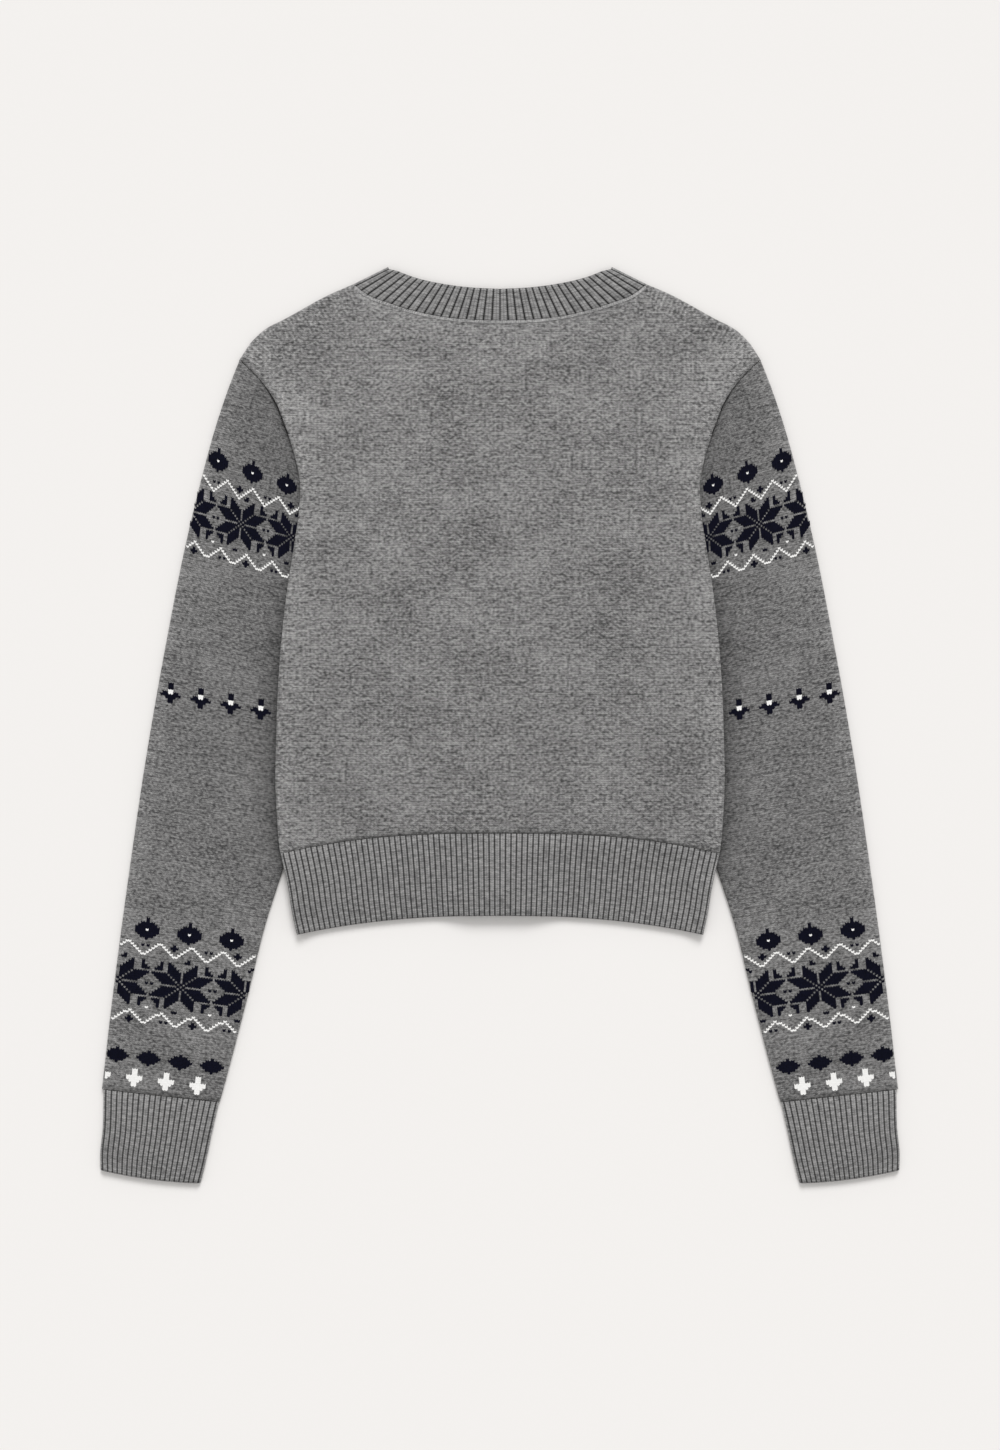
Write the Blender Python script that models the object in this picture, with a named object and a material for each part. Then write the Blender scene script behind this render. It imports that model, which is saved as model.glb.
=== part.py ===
"""Cropped cardigan, laid face down on a flat surface so that its back shows.

Lengths are in millimetres up to the last step, which writes metres. X runs to the right, Y up the
garment from the middle of the back hem, and Z up from the surface. Left and right are the wearer's,
so the left sleeve is at -X. Each piece is a closed wall of cloth: an outer and an inner sheet of
points, joined round every edge. The front lies on the surface, the back lies on the front, and the
sides of the body fold round and lie on the inner edges of the sleeves.
"""

from collections import namedtuple

import bmesh
import bpy
import numpy as np

# Cloth
WALL = 1.6  # stockinette
RIB_WALL = 1.5  # ribbing, in its grooves
RIB_RELIEF = 0.8  # how far a rib stands over its grooves
LAYER_GAP = 0.6  # between the two layers of a tube laid flat
SEAM_GAP = 0.3  # between two pieces sewn together
EDGE_CLEAR = 0.5  # a curved panel edge lies this far from its seam line
THICK = 2 * WALL + LAYER_GAP  # a tube of cloth laid flat
FOLD_OUT = THICK / 2  # radius of a fold, outside
FOLD_IN = FOLD_OUT - WALL  # and inside
LIFT = THICK + SEAM_GAP  # how high the body's sides lie, on the sleeves

# Lengths up the garment
HEM_TOP = 59.3  # top of the hem rib at the centre
HEM_TOP_SIDE = 44.9  # and at the side folds, where the hem dips
HEM_SIDE = -13.8  # bottom of the hem rib at the side folds
UNDERARM = 259.5
SEAM_SHOWS = 349.5  # the armhole seam shows on top from here up
FIRST_WRAP = 338.0  # the side folds start here
SHOULDER_TIP = 400.0
SHOULDER_WRAP = 4.0  # how far the back reaches round the shoulder fold
FRONT_TIP = 396.6  # the front's corner at the shoulder

# Front bands and buttons
BAND_WIDTH = 28.0
BAND_WALL = 1.9
BAND_TOP = 399.0
BUTTONS = 7
BUTTON_ACROSS = 15.0
BUTTON_THICK = 2.2
BUTTON_HOLE = 1.8
BUTTON_HOLE_PITCH = 3.0
BUTTON_FIRST = 14.0  # centre of the lowest button
BUTTON_LAST = 386.0  # and of the highest
OUTER_BAND_Z = BUTTON_THICK + SEAM_GAP
INNER_BAND_Z = OUTER_BAND_Z + BAND_WALL + SEAM_GAP
CROWN = INNER_BAND_Z + BAND_WALL + SEAM_GAP + WALL - THICK  # rise of the back over the bands
CROWN_FLAT = 16.0  # half width of the crown's top
CROWN_FOOT = 48.0
FRONT_FOOT = 40.0  # the fronts reach the surface here
RAMP = 36.0  # width of the slope beside a sleeve's inner edge
RAMP_START = 6.0
RAMP_EASE = 1.4  # how much more the back clears the front on that slope

# Ribs
HEM_RIBS = 78
NECK_RIBS = 36
CUFF_RIBS = 20
RIB_STEPS = ((0.0, 0.0), (0.32, 1.0), (0.68, 1.0))  # share of the pitch, share of the relief

Edge = namedtuple("Edge", "up out")  # a point of an edge: height up the garment, distance from centre
Point = namedtuple("Point", "out up")  # a point of a line drawn on the garment
Ring = namedtuple("Ring", "share outer inner")  # where a sleeve ring meets the two edges

ARMHOLE = [
    Edge(UNDERARM, 100.8), Edge(281.0, 116.6), Edge(306.0, 131.0), Edge(331.5, 144.0),
    Edge(SEAM_SHOWS, 153.4), Edge(370.4, 162.0), Edge(385.5, 172.8), Edge(SHOULDER_TIP, 187.2),
]
BODY_FOLD = [
    Edge(HEM_SIDE, 146.0), Edge(0.0, 149.0), Edge(22.0, 152.6), Edge(35.6, 155.5),
    Edge(HEM_TOP_SIDE, 157.7), Edge(72.0, 160.4), Edge(137.0, 160.6), Edge(191.0, 157.7),
    Edge(234.0, 153.0), Edge(263.0, 148.5), Edge(292.0, 144.4), Edge(313.5, 144.0),
    Edge(328.0, 146.9), Edge(SEAM_SHOWS, 153.4),
]
SIDE_SEAM = [
    Edge(HEM_SIDE, 127.0), Edge(HEM_TOP_SIDE, 131.0), Edge(120.0, 125.0), Edge(190.0, 112.0),
    Edge(UNDERARM, 100.8),
]
SLEEVE_OUTER = [
    Edge(-125.0, 286.4), Edge(-60.9, 279.0), Edge(25.5, 267.6), Edge(111.9, 254.9),
    Edge(198.3, 239.8), Edge(270.3, 225.4), Edge(313.5, 215.0), Edge(356.6, 203.0),
    Edge(385.5, 193.0), Edge(SHOULDER_TIP, 187.2),
]
SLEEVE_INNER = [
    Edge(-134.1, 201.6), Edge(-118.5, 197.3), Edge(-60.9, 182.2), Edge(-3.3, 167.8),
    Edge(32.7, 156.2), Edge(79.5, 141.8), Edge(126.3, 128.2), Edge(169.5, 116.6),
    Edge(212.7, 106.6), Edge(UNDERARM, 100.8),
]
SLEEVE_RINGS = [
    Ring(0.0, SHOULDER_TIP, UNDERARM), Ring(0.15, 340.0, 253.0), Ring(0.32, 266.7, 236.0),
    Ring(0.55, 170.0, 148.0), Ring(0.82, 0.0, -12.6), Ring(1.0, -125.0, -134.1),
]
SHOULDER = [
    Point(105.8, 453.9), Point(121.0, 447.4), Point(155.5, 428.7), Point(169.2, 421.5),
    Point(178.6, 412.8), Point(187.2, SHOULDER_TIP),
]
NECK_BACK_SEAM = [
    Point(0.0, 426.5), Point(21.6, 427.2), Point(50.4, 430.8), Point(79.2, 438.8),
    Point(97.9, 446.6), Point(105.8, 453.9),
]
NECK_BACK_EDGE = [
    Point(0.0, 450.6), Point(21.6, 451.7), Point(43.2, 454.6), Point(62.0, 459.0),
    Point(80.6, 466.5),
]
NECK_FRONT_SEAM = [
    Point(105.8, 453.9), Point(100.5, 437.0), Point(88.0, 411.0), Point(66.0, 389.0),
    Point(40.0, 378.0), Point(14.3, 375.0),
]
NECK_FRONT_EDGE = [
    Point(80.6, 466.5), Point(76.5, 449.0), Point(66.0, 428.0), Point(49.0, 410.0),
    Point(31.0, 401.5), Point(14.3, BAND_TOP),
]
CUFF_OUTER = [Edge(-183.0, 287.3), Edge(-172.0, 287.6), Edge(-153.1, 285.8), Edge(-125.3, 285.2)]
CUFF_INNER = [Edge(-192.5, 215.5), Edge(-180.9, 212.5), Edge(-156.0, 207.1), Edge(-134.4, 202.2)]
CUFF_SAG = 2.0  # how far the cuff's edge bows down between its corners

COLOURS = {
    "knit": (0.205, 0.202, 0.202),
    "rib": (0.180, 0.178, 0.178),
    "button": (0.020, 0.021, 0.030),
}


def smooth(knots, values, at):
    """Values of a smooth curve through knots, whose slopes come from the neighbours of each."""
    knots, values = np.array(knots, float), np.array(values, float)
    at = np.clip(np.asarray(at, float), knots[0], knots[-1])
    slopes = np.gradient(values, knots)
    i = np.clip(np.searchsorted(knots, at, side="right") - 1, 0, len(knots) - 2)
    step = knots[i + 1] - knots[i]
    s = (at - knots[i]) / step
    return (
        values[i] * (1 + 2 * s) * (1 - s) ** 2
        + slopes[i] * step * s * (1 - s) ** 2
        + values[i + 1] * s * s * (3 - 2 * s)
        + slopes[i + 1] * step * s * s * (s - 1)
    )


def out_at(edge, up):
    """Distance of an edge from the centre, at these heights."""
    return smooth([e.up for e in edge], [e.out for e in edge], up)


def along(line, share):
    """Points (out, up) at these shares of the length of a smooth line through its points."""
    points = np.array(line, float)
    knots = np.r_[0, np.cumsum(np.linalg.norm(np.diff(points, axis=0), axis=1))]
    fine = np.linspace(0, knots[-1], 400)
    dense = np.stack([smooth(knots, points[:, 0], fine), smooth(knots, points[:, 1], fine)], -1)
    length = np.r_[0, np.cumsum(np.linalg.norm(np.diff(dense, axis=0), axis=1))]
    share = np.clip(np.asarray(share, float), 0, 1) * length[-1]
    return np.stack([np.interp(share, length, dense[:, k]) for k in (0, 1)], -1)


def beside(line, share, off):
    """Points at these shares of a line, moved off to its left, or to its right if off is below 0."""
    share = np.clip(np.asarray(share, float), 0, 1)
    run = along(line, share + 0.01) - along(line, share - 0.01)
    left = np.stack([-run[..., 1], run[..., 0]], -1)
    return along(line, share) + off * left / np.linalg.norm(left, axis=-1)[..., None]


def fade(s):
    """0 below s = 0, 1 above s = 1, and a smooth step between."""
    s = np.clip(s, 0, 1)
    return s * s * (3 - 2 * s)


def body_edge(up):
    """The body's edge as seen from above: the armhole seam while it shows, then the side fold."""
    return np.where(np.asarray(up) >= SEAM_SHOWS, out_at(ARMHOLE, up), out_at(BODY_FOLD, up))


def under_seam(up):
    """The seam where front and back meet under the body: side seam below, armhole above."""
    return np.where(np.asarray(up) >= UNDERARM, out_at(ARMHOLE, up), out_at(SIDE_SEAM, up))


def hem_top(out):
    edge = BODY_FOLD[4].out
    return HEM_TOP - (HEM_TOP - HEM_TOP_SIDE) * (np.abs(out) / edge) ** 2.6


def hem_bottom(out):
    edge = BODY_FOLD[0].out
    return HEM_SIDE * (np.abs(out) / edge) ** 2.3


def row_up(out, side_up):
    """Height of a row of stitches under the body, which starts at side_up at the side fold and
    follows the hem's curve less and less up to the underarm."""
    follow = np.clip((UNDERARM - side_up) / (UNDERARM - HEM_TOP_SIDE), 0, 1)
    return side_up + (hem_top(out) - HEM_TOP_SIDE) * follow


def lift(out, up):
    """Height of the body's underside: it lies on the sleeve's inner edge and slopes down beside it."""
    sleeve = np.where(up >= UNDERARM, out_at(ARMHOLE, up), out_at(SLEEVE_INNER, up))
    on_sleeve = fade((388.0 - up) / (388.0 - 352.0))
    inboard = sleeve - RAMP_START - np.abs(out)
    return LIFT * on_sleeve * (1 - fade(inboard / RAMP))


def back_top(out, up):
    """Height of the back's outer side: two layers of cloth, and a low crown over the bands."""
    across = fade((CROWN_FOOT - np.abs(out)) / (CROWN_FOOT - CROWN_FLAT))
    upward = fade((436.0 - up) / (436.0 - 402.0))
    low = lift(out, up)
    ease = RAMP_EASE * 2 * np.sqrt(np.clip((low / LIFT) * (1 - low / LIFT), 0, 1))
    return low + THICK + ease + CROWN * across * upward


def front_bottom(out, up):
    """Height of a front's outer side, which rises at the centre to the band it is sewn to."""
    band = np.where(out > 0, OUTER_BAND_Z, INNER_BAND_Z)
    half = BAND_WIDTH / 2
    return lift(out, up) + band * fade((FRONT_FOOT - np.abs(out)) / (FRONT_FOOT - half))


def rib_columns(count):
    """Share along the strip and share of the relief, for each column of a strip of ribs."""
    columns = [((k + at) / count, high) for k in range(count) for at, high in RIB_STEPS]
    return np.array(columns + [(1.0, 0.0)]).T


def material(name):
    made = bpy.data.materials.get(name) or bpy.data.materials.new(name)
    made.use_nodes = True
    shader = made.node_tree.nodes["Principled BSDF"]
    shader.inputs["Base Color"].default_value = (*COLOURS[name], 1)
    shader.inputs["Roughness"].default_value = 0.35 if name == "button" else 0.9
    return made


def place(name, points, faces, finish):
    """A mesh object from points in millimetres, with its faces turned outwards."""
    mesh = bpy.data.meshes.new(name)
    work = bmesh.new()
    corners = [work.verts.new(p) for p in points]
    for face in faces:
        work.faces.new([corners[k] for k in face])
    bmesh.ops.recalc_face_normals(work, faces=work.faces)
    work.to_mesh(mesh)
    work.free()
    mesh.materials.append(material(finish))
    thing = bpy.data.objects.new(name, mesh)
    bpy.context.scene.collection.objects.link(thing)
    return thing


def wall(name, outer, inner, finish, keep=None, ring=False):
    """A closed wall between two sheets of points (rows, columns, 3).

    keep marks the cells that are cloth; ring closes each row on itself, as in a sleeve. Every
    edge that only one cell uses gets a rim between the two sheets.
    """
    rows, columns = outer.shape[:2]
    cells = [(i, j) for i in range(rows - 1) for j in range(columns - (0 if ring else 1))]
    if keep is not None:
        cells = [c for c in cells if keep[c]]
    index, points, faces, uses = {}, [], [], {}

    def at(side, i, j):
        key = (side, i, j % columns)
        if key not in index:
            index[key] = len(points)
            points.append((outer, inner)[side][i, j % columns])
        return index[key]

    for i, j in cells:
        loop = [(i, j), (i, j + 1), (i + 1, j + 1), (i + 1, j)]
        faces.append([at(0, *c) for c in loop])
        faces.append([at(1, *c) for c in reversed(loop)])
        for a, b in zip(loop, loop[1:] + loop[:1]):
            edge = frozenset([(a[0], a[1] % columns), (b[0], b[1] % columns)])
            uses.setdefault(edge, []).append((a, b))
    for used in uses.values():
        if len(used) == 1:
            a, b = used[0]
            faces.append([at(0, *b), at(0, *a), at(1, *a), at(1, *b)])
    return place(name, points, faces, finish)


def neck_pull(share, reach=0.1):
    """How far the last stretch of a neck seam, near share 1, lies in from the shoulder fold."""
    away = beside(SHOULDER, 0.0, 1.0) - along(SHOULDER, 0.0)
    return away * FOLD_OUT * np.clip((np.asarray(share)[..., None] - 1 + reach) / reach, 0, 1)


def patch(across, station, bottom, top, side):
    """Points of a panel between its bottom and top edges. Its columns follow the side's bends, and
    near the top only those beside it do."""
    u, v = across[..., None], station[..., None]
    straight = (1 - v) * bottom[..., -1:, :] + v * top[..., -1:, :]
    return (1 - v) * bottom + v * top + u ** (1 + 2 * v**12) * (side - straight)


def body_point(across, side_up):
    """A point (out, up) of the back: across from 0 at the centre to 1 at the edge, in the row that
    starts at side_up on the edge."""
    across, side_up = np.broadcast_arrays(across, side_up)
    station = (side_up - HEM_TOP_SIDE) / (SHOULDER_TIP - HEM_TOP_SIDE)
    side = np.stack([body_edge(side_up), side_up], -1)
    hem_out = body_edge(HEM_TOP_SIDE) * across
    bottom = np.stack([hem_out, hem_top(hem_out)], -1)
    neck = beside(NECK_BACK_SEAM, across / NECK_ACROSS, -EDGE_CLEAR)
    neck = neck - neck_pull(across / NECK_ACROSS)
    shoulder = along(SHOULDER, (across - NECK_ACROSS) / (1 - NECK_ACROSS))
    top = np.where((across <= NECK_ACROSS)[..., None], neck, shoulder)
    return patch(across, station, bottom, top, side)


NECK_ACROSS = 0.58  # share across at which the neck seam meets the shoulder
HALF_COLUMNS = (
    0.0, 0.1, 0.18, 0.26, 0.36, 0.46, 0.53, NECK_ACROSS, 0.64, 0.7, 0.76, 0.82, 0.88, 0.94, 1.0,
)
SIDE_STATIONS = (
    HEM_TOP_SIDE, 75.0, 110.0, 145.0, 180.0, 210.0, 237.0, UNDERARM, 281.0, 303.0, 322.0,
    FIRST_WRAP, SEAM_SHOWS, 362.0, 375.0, 388.0, SHOULDER_TIP,
)
FOLD_ANGLES = np.radians((45.0, 90.0, 135.0, 180.0))


def mirrored(half):
    """Rows of a half body, from its centre outwards, continued to the other side."""
    other = half[:, :0:-1] * np.array([-1, 1, 1])
    return np.concatenate([other, half], axis=1)


def fold_and_wrap(side_up, seam, steps, relief=0.0):
    """Outer and inner points of one row's fold at the side, and of its wrap under the body."""
    edge = float(body_edge(side_up))
    outer, inner = [], []
    for angle in FOLD_ANGLES:
        rib = relief * max(0.0, np.cos(angle / 2)) * np.sin(angle)
        low = float(lift(edge, side_up))
        for points, radius in ((outer, FOLD_OUT + rib), (inner, FOLD_IN)):
            points.append(
                (
                    edge - FOLD_OUT + radius * np.sin(angle),
                    side_up,
                    low + FOLD_OUT + radius * np.cos(angle),
                )
            )
    for step in range(1, steps + 1):
        out = edge - FOLD_OUT + (seam + SEAM_GAP / 2 - edge + FOLD_OUT) * step / steps
        low = float(lift(out, side_up))
        up = float(row_up(out, side_up))
        outer.append((out, up, low))
        inner.append((out, up, low + WALL))
    return outer, inner


def build_back():
    wraps = 3
    top = body_point(np.array(HALF_COLUMNS)[None, :], np.array(SIDE_STATIONS)[:, None])
    outer, inner = [], []
    for side_up, row in zip(SIDE_STATIONS, top):
        row = row.copy()
        row[-1, 0] -= FOLD_OUT if side_up <= FIRST_WRAP else SEAM_GAP / 2
        high = back_top(row[:, 0], row[:, 1])
        o = [(x, y, z) for (x, y), z in zip(row, high)]
        i = [(x, y, z - WALL) for (x, y), z in zip(row, high)]
        fold = fold_and_wrap(side_up, float(under_seam(side_up)), wraps)
        outer.append(o + fold[0])
        inner.append(i + fold[1])
    outer, inner = np.array(outer), np.array(inner)

    # The shoulders fold round to the front: more rows beyond the last, over the shoulder's columns.
    first = HALF_COLUMNS.index(NECK_ACROSS)
    share = (np.array(HALF_COLUMNS[first:]) - NECK_ACROSS) / (1 - NECK_ACROSS)
    line = along(SHOULDER, share)
    away = beside(SHOULDER, share, 1.0) - line
    rows = []
    for angle in (0.0, *FOLD_ANGLES, None):
        pair = []
        for radius, low in ((FOLD_OUT, 0.0), (FOLD_IN, WALL)):
            if angle is None:
                plan = line - away * SHOULDER_WRAP
                z = np.full(len(line), low)
            else:
                plan = line - away * (FOLD_OUT - radius * np.sin(angle))
                z = np.full(len(line), FOLD_OUT + radius * np.cos(angle))
            pair.append(np.concatenate([plan, z[:, None]], axis=1))
        rows.append(pair)
    outer[-1, first : len(HALF_COLUMNS)] = rows[0][0]
    inner[-1, first : len(HALF_COLUMNS)] = rows[0][1]
    extra_outer = np.repeat(outer[-1:], len(rows) - 1, axis=0)
    extra_inner = np.repeat(inner[-1:], len(rows) - 1, axis=0)
    for k, (o, i) in enumerate(rows[1:]):
        extra_outer[k, first : len(HALF_COLUMNS)] = o
        extra_inner[k, first : len(HALF_COLUMNS)] = i
    outer = np.concatenate([outer, extra_outer])
    inner = np.concatenate([inner, extra_inner])

    # The hem edge stands clear of the rib it is sewn to.
    outer[0, :, 1] += SEAM_GAP / 2
    inner[0, :, 1] += SEAM_GAP / 2
    half_keep = np.ones((outer.shape[0] - 1, outer.shape[1] - 1), bool)
    half_keep[SIDE_STATIONS.index(FIRST_WRAP) :, len(HALF_COLUMNS) - 1 :] = False
    half_keep[len(SIDE_STATIONS) - 1 :, :first] = False
    keep = np.concatenate([half_keep[:, ::-1], half_keep], axis=1)
    wall("back", mirrored(outer), mirrored(inner), "knit", keep)


def front_point(across, side_up):
    """A point (out, up) of a front: across from 0 at its band to 1 at the side seam and armhole, in
    the row that starts at side_up at the side fold. It blends the four edges of the front."""
    across, side_up = np.broadcast_arrays(np.asarray(across, float), np.asarray(side_up, float))
    station = (side_up - HEM_TOP_SIDE) / (SHOULDER_TIP - HEM_TOP_SIDE)
    start_out = BAND_WIDTH / 2 + SEAM_GAP
    seam_out = under_seam(side_up) - SEAM_GAP
    side = np.stack([seam_out, row_up(seam_out, side_up)], -1)
    end = np.array([under_seam(FRONT_TIP) - SEAM_GAP, FRONT_TIP])
    side = np.where((side_up >= SHOULDER_TIP)[..., None], end, side)
    low_out = under_seam(HEM_TOP_SIDE) - SEAM_GAP
    hem_out = start_out + (low_out - start_out) * across
    bottom = np.stack([hem_out, hem_top(hem_out)], -1)
    neck = beside(NECK_FRONT_SEAM, 1 - across / NECK_ACROSS, 2 * EDGE_CLEAR)
    neck = neck - neck_pull(across / NECK_ACROSS, 0.15)
    share = (across - NECK_ACROSS) / (1 - NECK_ACROSS)
    shoulder = beside(SHOULDER, share, -SHOULDER_WRAP - SEAM_GAP)
    corner = beside(SHOULDER, 0.0, -SHOULDER_WRAP - SEAM_GAP) + (EDGE_CLEAR, 0.0)
    top = np.where((across < NECK_ACROSS)[..., None], neck, shoulder)
    top = np.where((across == NECK_ACROSS)[..., None], corner, top)
    top = np.where((across >= 1.0)[..., None], end, top)
    start = beside(NECK_FRONT_SEAM, 1.0, 2 * EDGE_CLEAR)
    start[0] = start_out
    top = np.where((across <= 0.0)[..., None], start, top)
    return patch(across, station, bottom, top, side)


def build_front(name, hand):
    """A front panel; hand is -1 for the wearer's left and 1 for the right."""
    plan = front_point(np.array(HALF_COLUMNS)[None, :], np.array(SIDE_STATIONS)[:, None])
    plan[0, :, 1] += SEAM_GAP / 2
    x, y = plan[..., 0] * hand, plan[..., 1]
    z = front_bottom(x, y)
    wall(name, np.stack([x, y, z], -1), np.stack([x, y, z + WALL], -1), "knit")


def hem_row(out, row):
    """Height up the garment in the hem rib, from its top at row 0 to its edge at row 1."""
    return hem_top(out) * (1 - row) + hem_bottom(out) * row


def build_hem_back():
    rows = np.linspace(0, 1, 3)
    share, relief = rib_columns(HEM_RIBS)
    outer, inner = [], []
    for row in rows:
        gap = SEAM_GAP * (1 - row)
        side_up = HEM_TOP_SIDE + (HEM_SIDE - HEM_TOP_SIDE) * row
        edge = float(body_edge(side_up)) - FOLD_OUT
        x = (2 * share - 1) * edge
        y = hem_row(x, row) - gap
        z = back_top(x, y) - WALL
        o = np.stack([x, y, z + RIB_WALL + RIB_RELIEF * relief], -1)
        i = np.stack([x, y, z], -1)
        fold = [
            np.array(f)
            for f in fold_and_wrap(side_up, float(under_seam(side_up)), 2, RIB_RELIEF)
        ]
        for f in fold:
            f[:, 1] = hem_row(f[:, 0], row) - gap
        flip = np.array([-1, 1, 1])
        outer.append(np.concatenate([fold[0][::-1] * flip, o, fold[0]]))
        inner.append(np.concatenate([fold[1][::-1] * flip, i, fold[1]]))
    wall("hem_rib_back", np.array(outer), np.array(inner), "rib")


def build_hem_front(name, hand):
    columns = np.linspace(0, 1, 13)
    plan = []
    for row in np.linspace(0, 1, 3):
        side_up = HEM_TOP_SIDE + (HEM_SIDE - HEM_TOP_SIDE) * row
        start = BAND_WIDTH / 2 + SEAM_GAP
        x = start + (float(under_seam(side_up)) - SEAM_GAP - start) * columns
        y = hem_row(x, row) - SEAM_GAP * (1 - row)
        plan.append(np.stack([x * hand, y], -1))
    plan = np.array(plan)
    z = front_bottom(plan[..., 0], plan[..., 1])[..., None]
    wall(name, np.concatenate([plan, z], -1), np.concatenate([plan, z + WALL], -1), "rib")


def laid_tube(plan, relief=None, base=0.0):
    """Outer and inner rings of a tube laid flat.

    plan gives, for each ring, points across it from the outer edge to the inner edge, the folds
    left out; the rings run over the top, round the inner fold, back underneath, and round the
    outer fold.
    """
    outer, inner = [], []
    for k, line in enumerate(plan):
        start, end = line[0], line[-1]
        begin_dir = (line[1] - line[0]) / np.linalg.norm(line[1] - line[0])
        end_dir = (line[-1] - line[-2]) / np.linalg.norm(line[-1] - line[-2])
        raised = np.zeros(len(line)) if relief is None else relief
        over = line[:: 3] if relief is not None else line
        o = [(*p, THICK + base + r) for p, r in zip(line, raised)]
        i = [(*p, THICK - WALL) for p in line]
        for angle in FOLD_ANGLES[:-1]:
            p = end + end_dir * FOLD_OUT * np.sin(angle)
            q = end + end_dir * FOLD_IN * np.sin(angle)
            o.append((*p, FOLD_OUT + FOLD_OUT * np.cos(angle)))
            i.append((*q, FOLD_OUT + FOLD_IN * np.cos(angle)))
        for p in over[::-1]:
            o.append((*p, 0.0))
            i.append((*p, WALL))
        for angle in FOLD_ANGLES[:-1][::-1]:
            p = start - begin_dir * FOLD_OUT * np.sin(angle)
            q = start - begin_dir * FOLD_IN * np.sin(angle)
            o.append((*p, FOLD_OUT + FOLD_OUT * np.cos(angle)))
            i.append((*q, FOLD_OUT + FOLD_IN * np.cos(angle)))
        outer.append(o)
        inner.append(i)
    return np.array(outer), np.array(inner)


def trimmed(line, ends):
    """The same number of points along a line, with its ends cut back."""
    length = np.r_[0, np.cumsum(np.linalg.norm(np.diff(line, axis=0), axis=1))]
    old = length / length[-1]
    new = ends / length[-1] + old * (1 - 2 * ends / length[-1])
    return np.stack([np.interp(new, old, line[:, k]) for k in (0, 1)], -1)


def build_sleeve(name, hand):
    shares = np.array([r.share for r in SLEEVE_RINGS])
    rings = np.r_[0, 0.04, 0.09, 0.15, 0.21, 0.27, np.linspace(0.33, 1, 11)]
    outer_up = smooth(shares, [r.outer for r in SLEEVE_RINGS], rings)
    inner_up = smooth(shares, [r.inner for r in SLEEVE_RINGS], rings)
    across = np.linspace(0, 1, 8)
    armhole = along([Point(e.out, e.up) for e in ARMHOLE[::-1]], across)
    straight = armhole[0] * (1 - across[:, None]) + armhole[-1] * across[:, None]
    plan = []
    for share, high, low in zip(rings, outer_up, inner_up):
        start = np.array([out_at(SLEEVE_OUTER, high), high])
        end = np.array([out_at(SLEEVE_INNER, low), low])
        line = start * (1 - across[:, None]) + end * across[:, None]
        line = line + (armhole - straight) * (1 - fade(share / 0.3))
        plan.append(trimmed(line, FOLD_OUT))
    plan = np.array(plan)
    plan[0] += (SEAM_GAP / 2, SEAM_GAP / 4)
    plan[-1, :, 1] += SEAM_GAP / 2
    plan[..., 0] *= hand
    wall(name, *laid_tube(plan), "knit", ring=True)


def build_cuff(name, hand):
    share, relief = rib_columns(CUFF_RIBS)
    plan = []
    for row in (0.0, 0.5, 1.0):
        high = CUFF_OUTER[-1].up + (CUFF_OUTER[0].up - CUFF_OUTER[-1].up) * row
        low = CUFF_INNER[-1].up + (CUFF_INNER[0].up - CUFF_INNER[-1].up) * row
        start = np.array([out_at(CUFF_OUTER, high), high])
        end = np.array([out_at(CUFF_INNER, low), low])
        line = start * (1 - share[:, None]) + end * share[:, None]
        line[:, 1] -= CUFF_SAG * row * 4 * share * (1 - share)
        plan.append(trimmed(line, FOLD_OUT))
    plan = np.array(plan)
    plan[..., 0] *= hand
    wall(name, *laid_tube(plan, relief * RIB_RELIEF, RIB_WALL - WALL), "rib", ring=True)


def build_neckband():
    """The band's columns run from the right front end, round the right fold, over the back, round
    the left fold, to the left front end. Its rows run from the seam to the free edge."""
    share, relief = rib_columns(NECK_RIBS)
    rows = np.linspace(0, 1, 3)
    front = np.linspace(0, 1, 10)
    fold_run = np.array(NECK_BACK_EDGE[-1]) - np.array(NECK_BACK_SEAM[-1])
    away = np.array([fold_run[1], -fold_run[0]]) / np.linalg.norm(fold_run)
    clear = SEAM_GAP * fold_run / np.linalg.norm(fold_run)
    outer, inner = [], []
    for row in rows:
        # the back half, folded at each end
        across = np.abs(2 * share - 1)
        plan = along(NECK_BACK_SEAM, across) * (1 - row) + along(NECK_BACK_EDGE, across) * row
        corner = along(NECK_BACK_SEAM, 1.0) * (1 - row) + along(NECK_BACK_EDGE, 1.0) * row
        plan = plan - neck_pull(across) + clear * (1 - row)
        x = plan[:, 0] * np.sign(2 * share - 1)
        z = back_top(x, plan[:, 1]) - WALL
        back_outer = np.stack([x, plan[:, 1], z + RIB_WALL + RIB_RELIEF * relief], -1)
        back_inner = np.stack([x, plan[:, 1], z], -1)
        turns = []
        for radius in (FOLD_OUT, FOLD_IN):
            turn = []
            for angle in FOLD_ANGLES[:-1]:
                p = corner - away * (FOLD_OUT - radius * np.sin(angle))
                p = p + clear * (1 - row)
                turn.append((*p, FOLD_OUT + radius * np.cos(angle)))
            turns.append(np.array(turn))
        # the front half, on the surface
        under = along(NECK_FRONT_SEAM, front) * (1 - row) + along(NECK_FRONT_EDGE, front) * row
        under = under - neck_pull(1 - front, 0.15) + clear * (1 - row)
        under[:, 0] = np.maximum(under[:, 0], BAND_WIDTH / 2 + SEAM_GAP)
        halves = {}
        for hand in (-1, 1):
            low = front_bottom(under[:, 0] * hand, under[:, 1])
            for side, height in ((0, low), (1, low + WALL)):
                halves[hand, side] = np.stack([under[:, 0] * hand, under[:, 1], height], -1)
        flip = np.array([-1, 1, 1])
        for side, sheet, back in ((0, outer, back_outer), (1, inner, back_inner)):
            turn = turns[side]
            sheet.append(
                np.concatenate(
                    [halves[-1, side][::-1], (turn * flip)[::-1], back, turn, halves[1, side]]
                )
            )
    wall("neckband", np.array(outer), np.array(inner), "rib")


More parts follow.
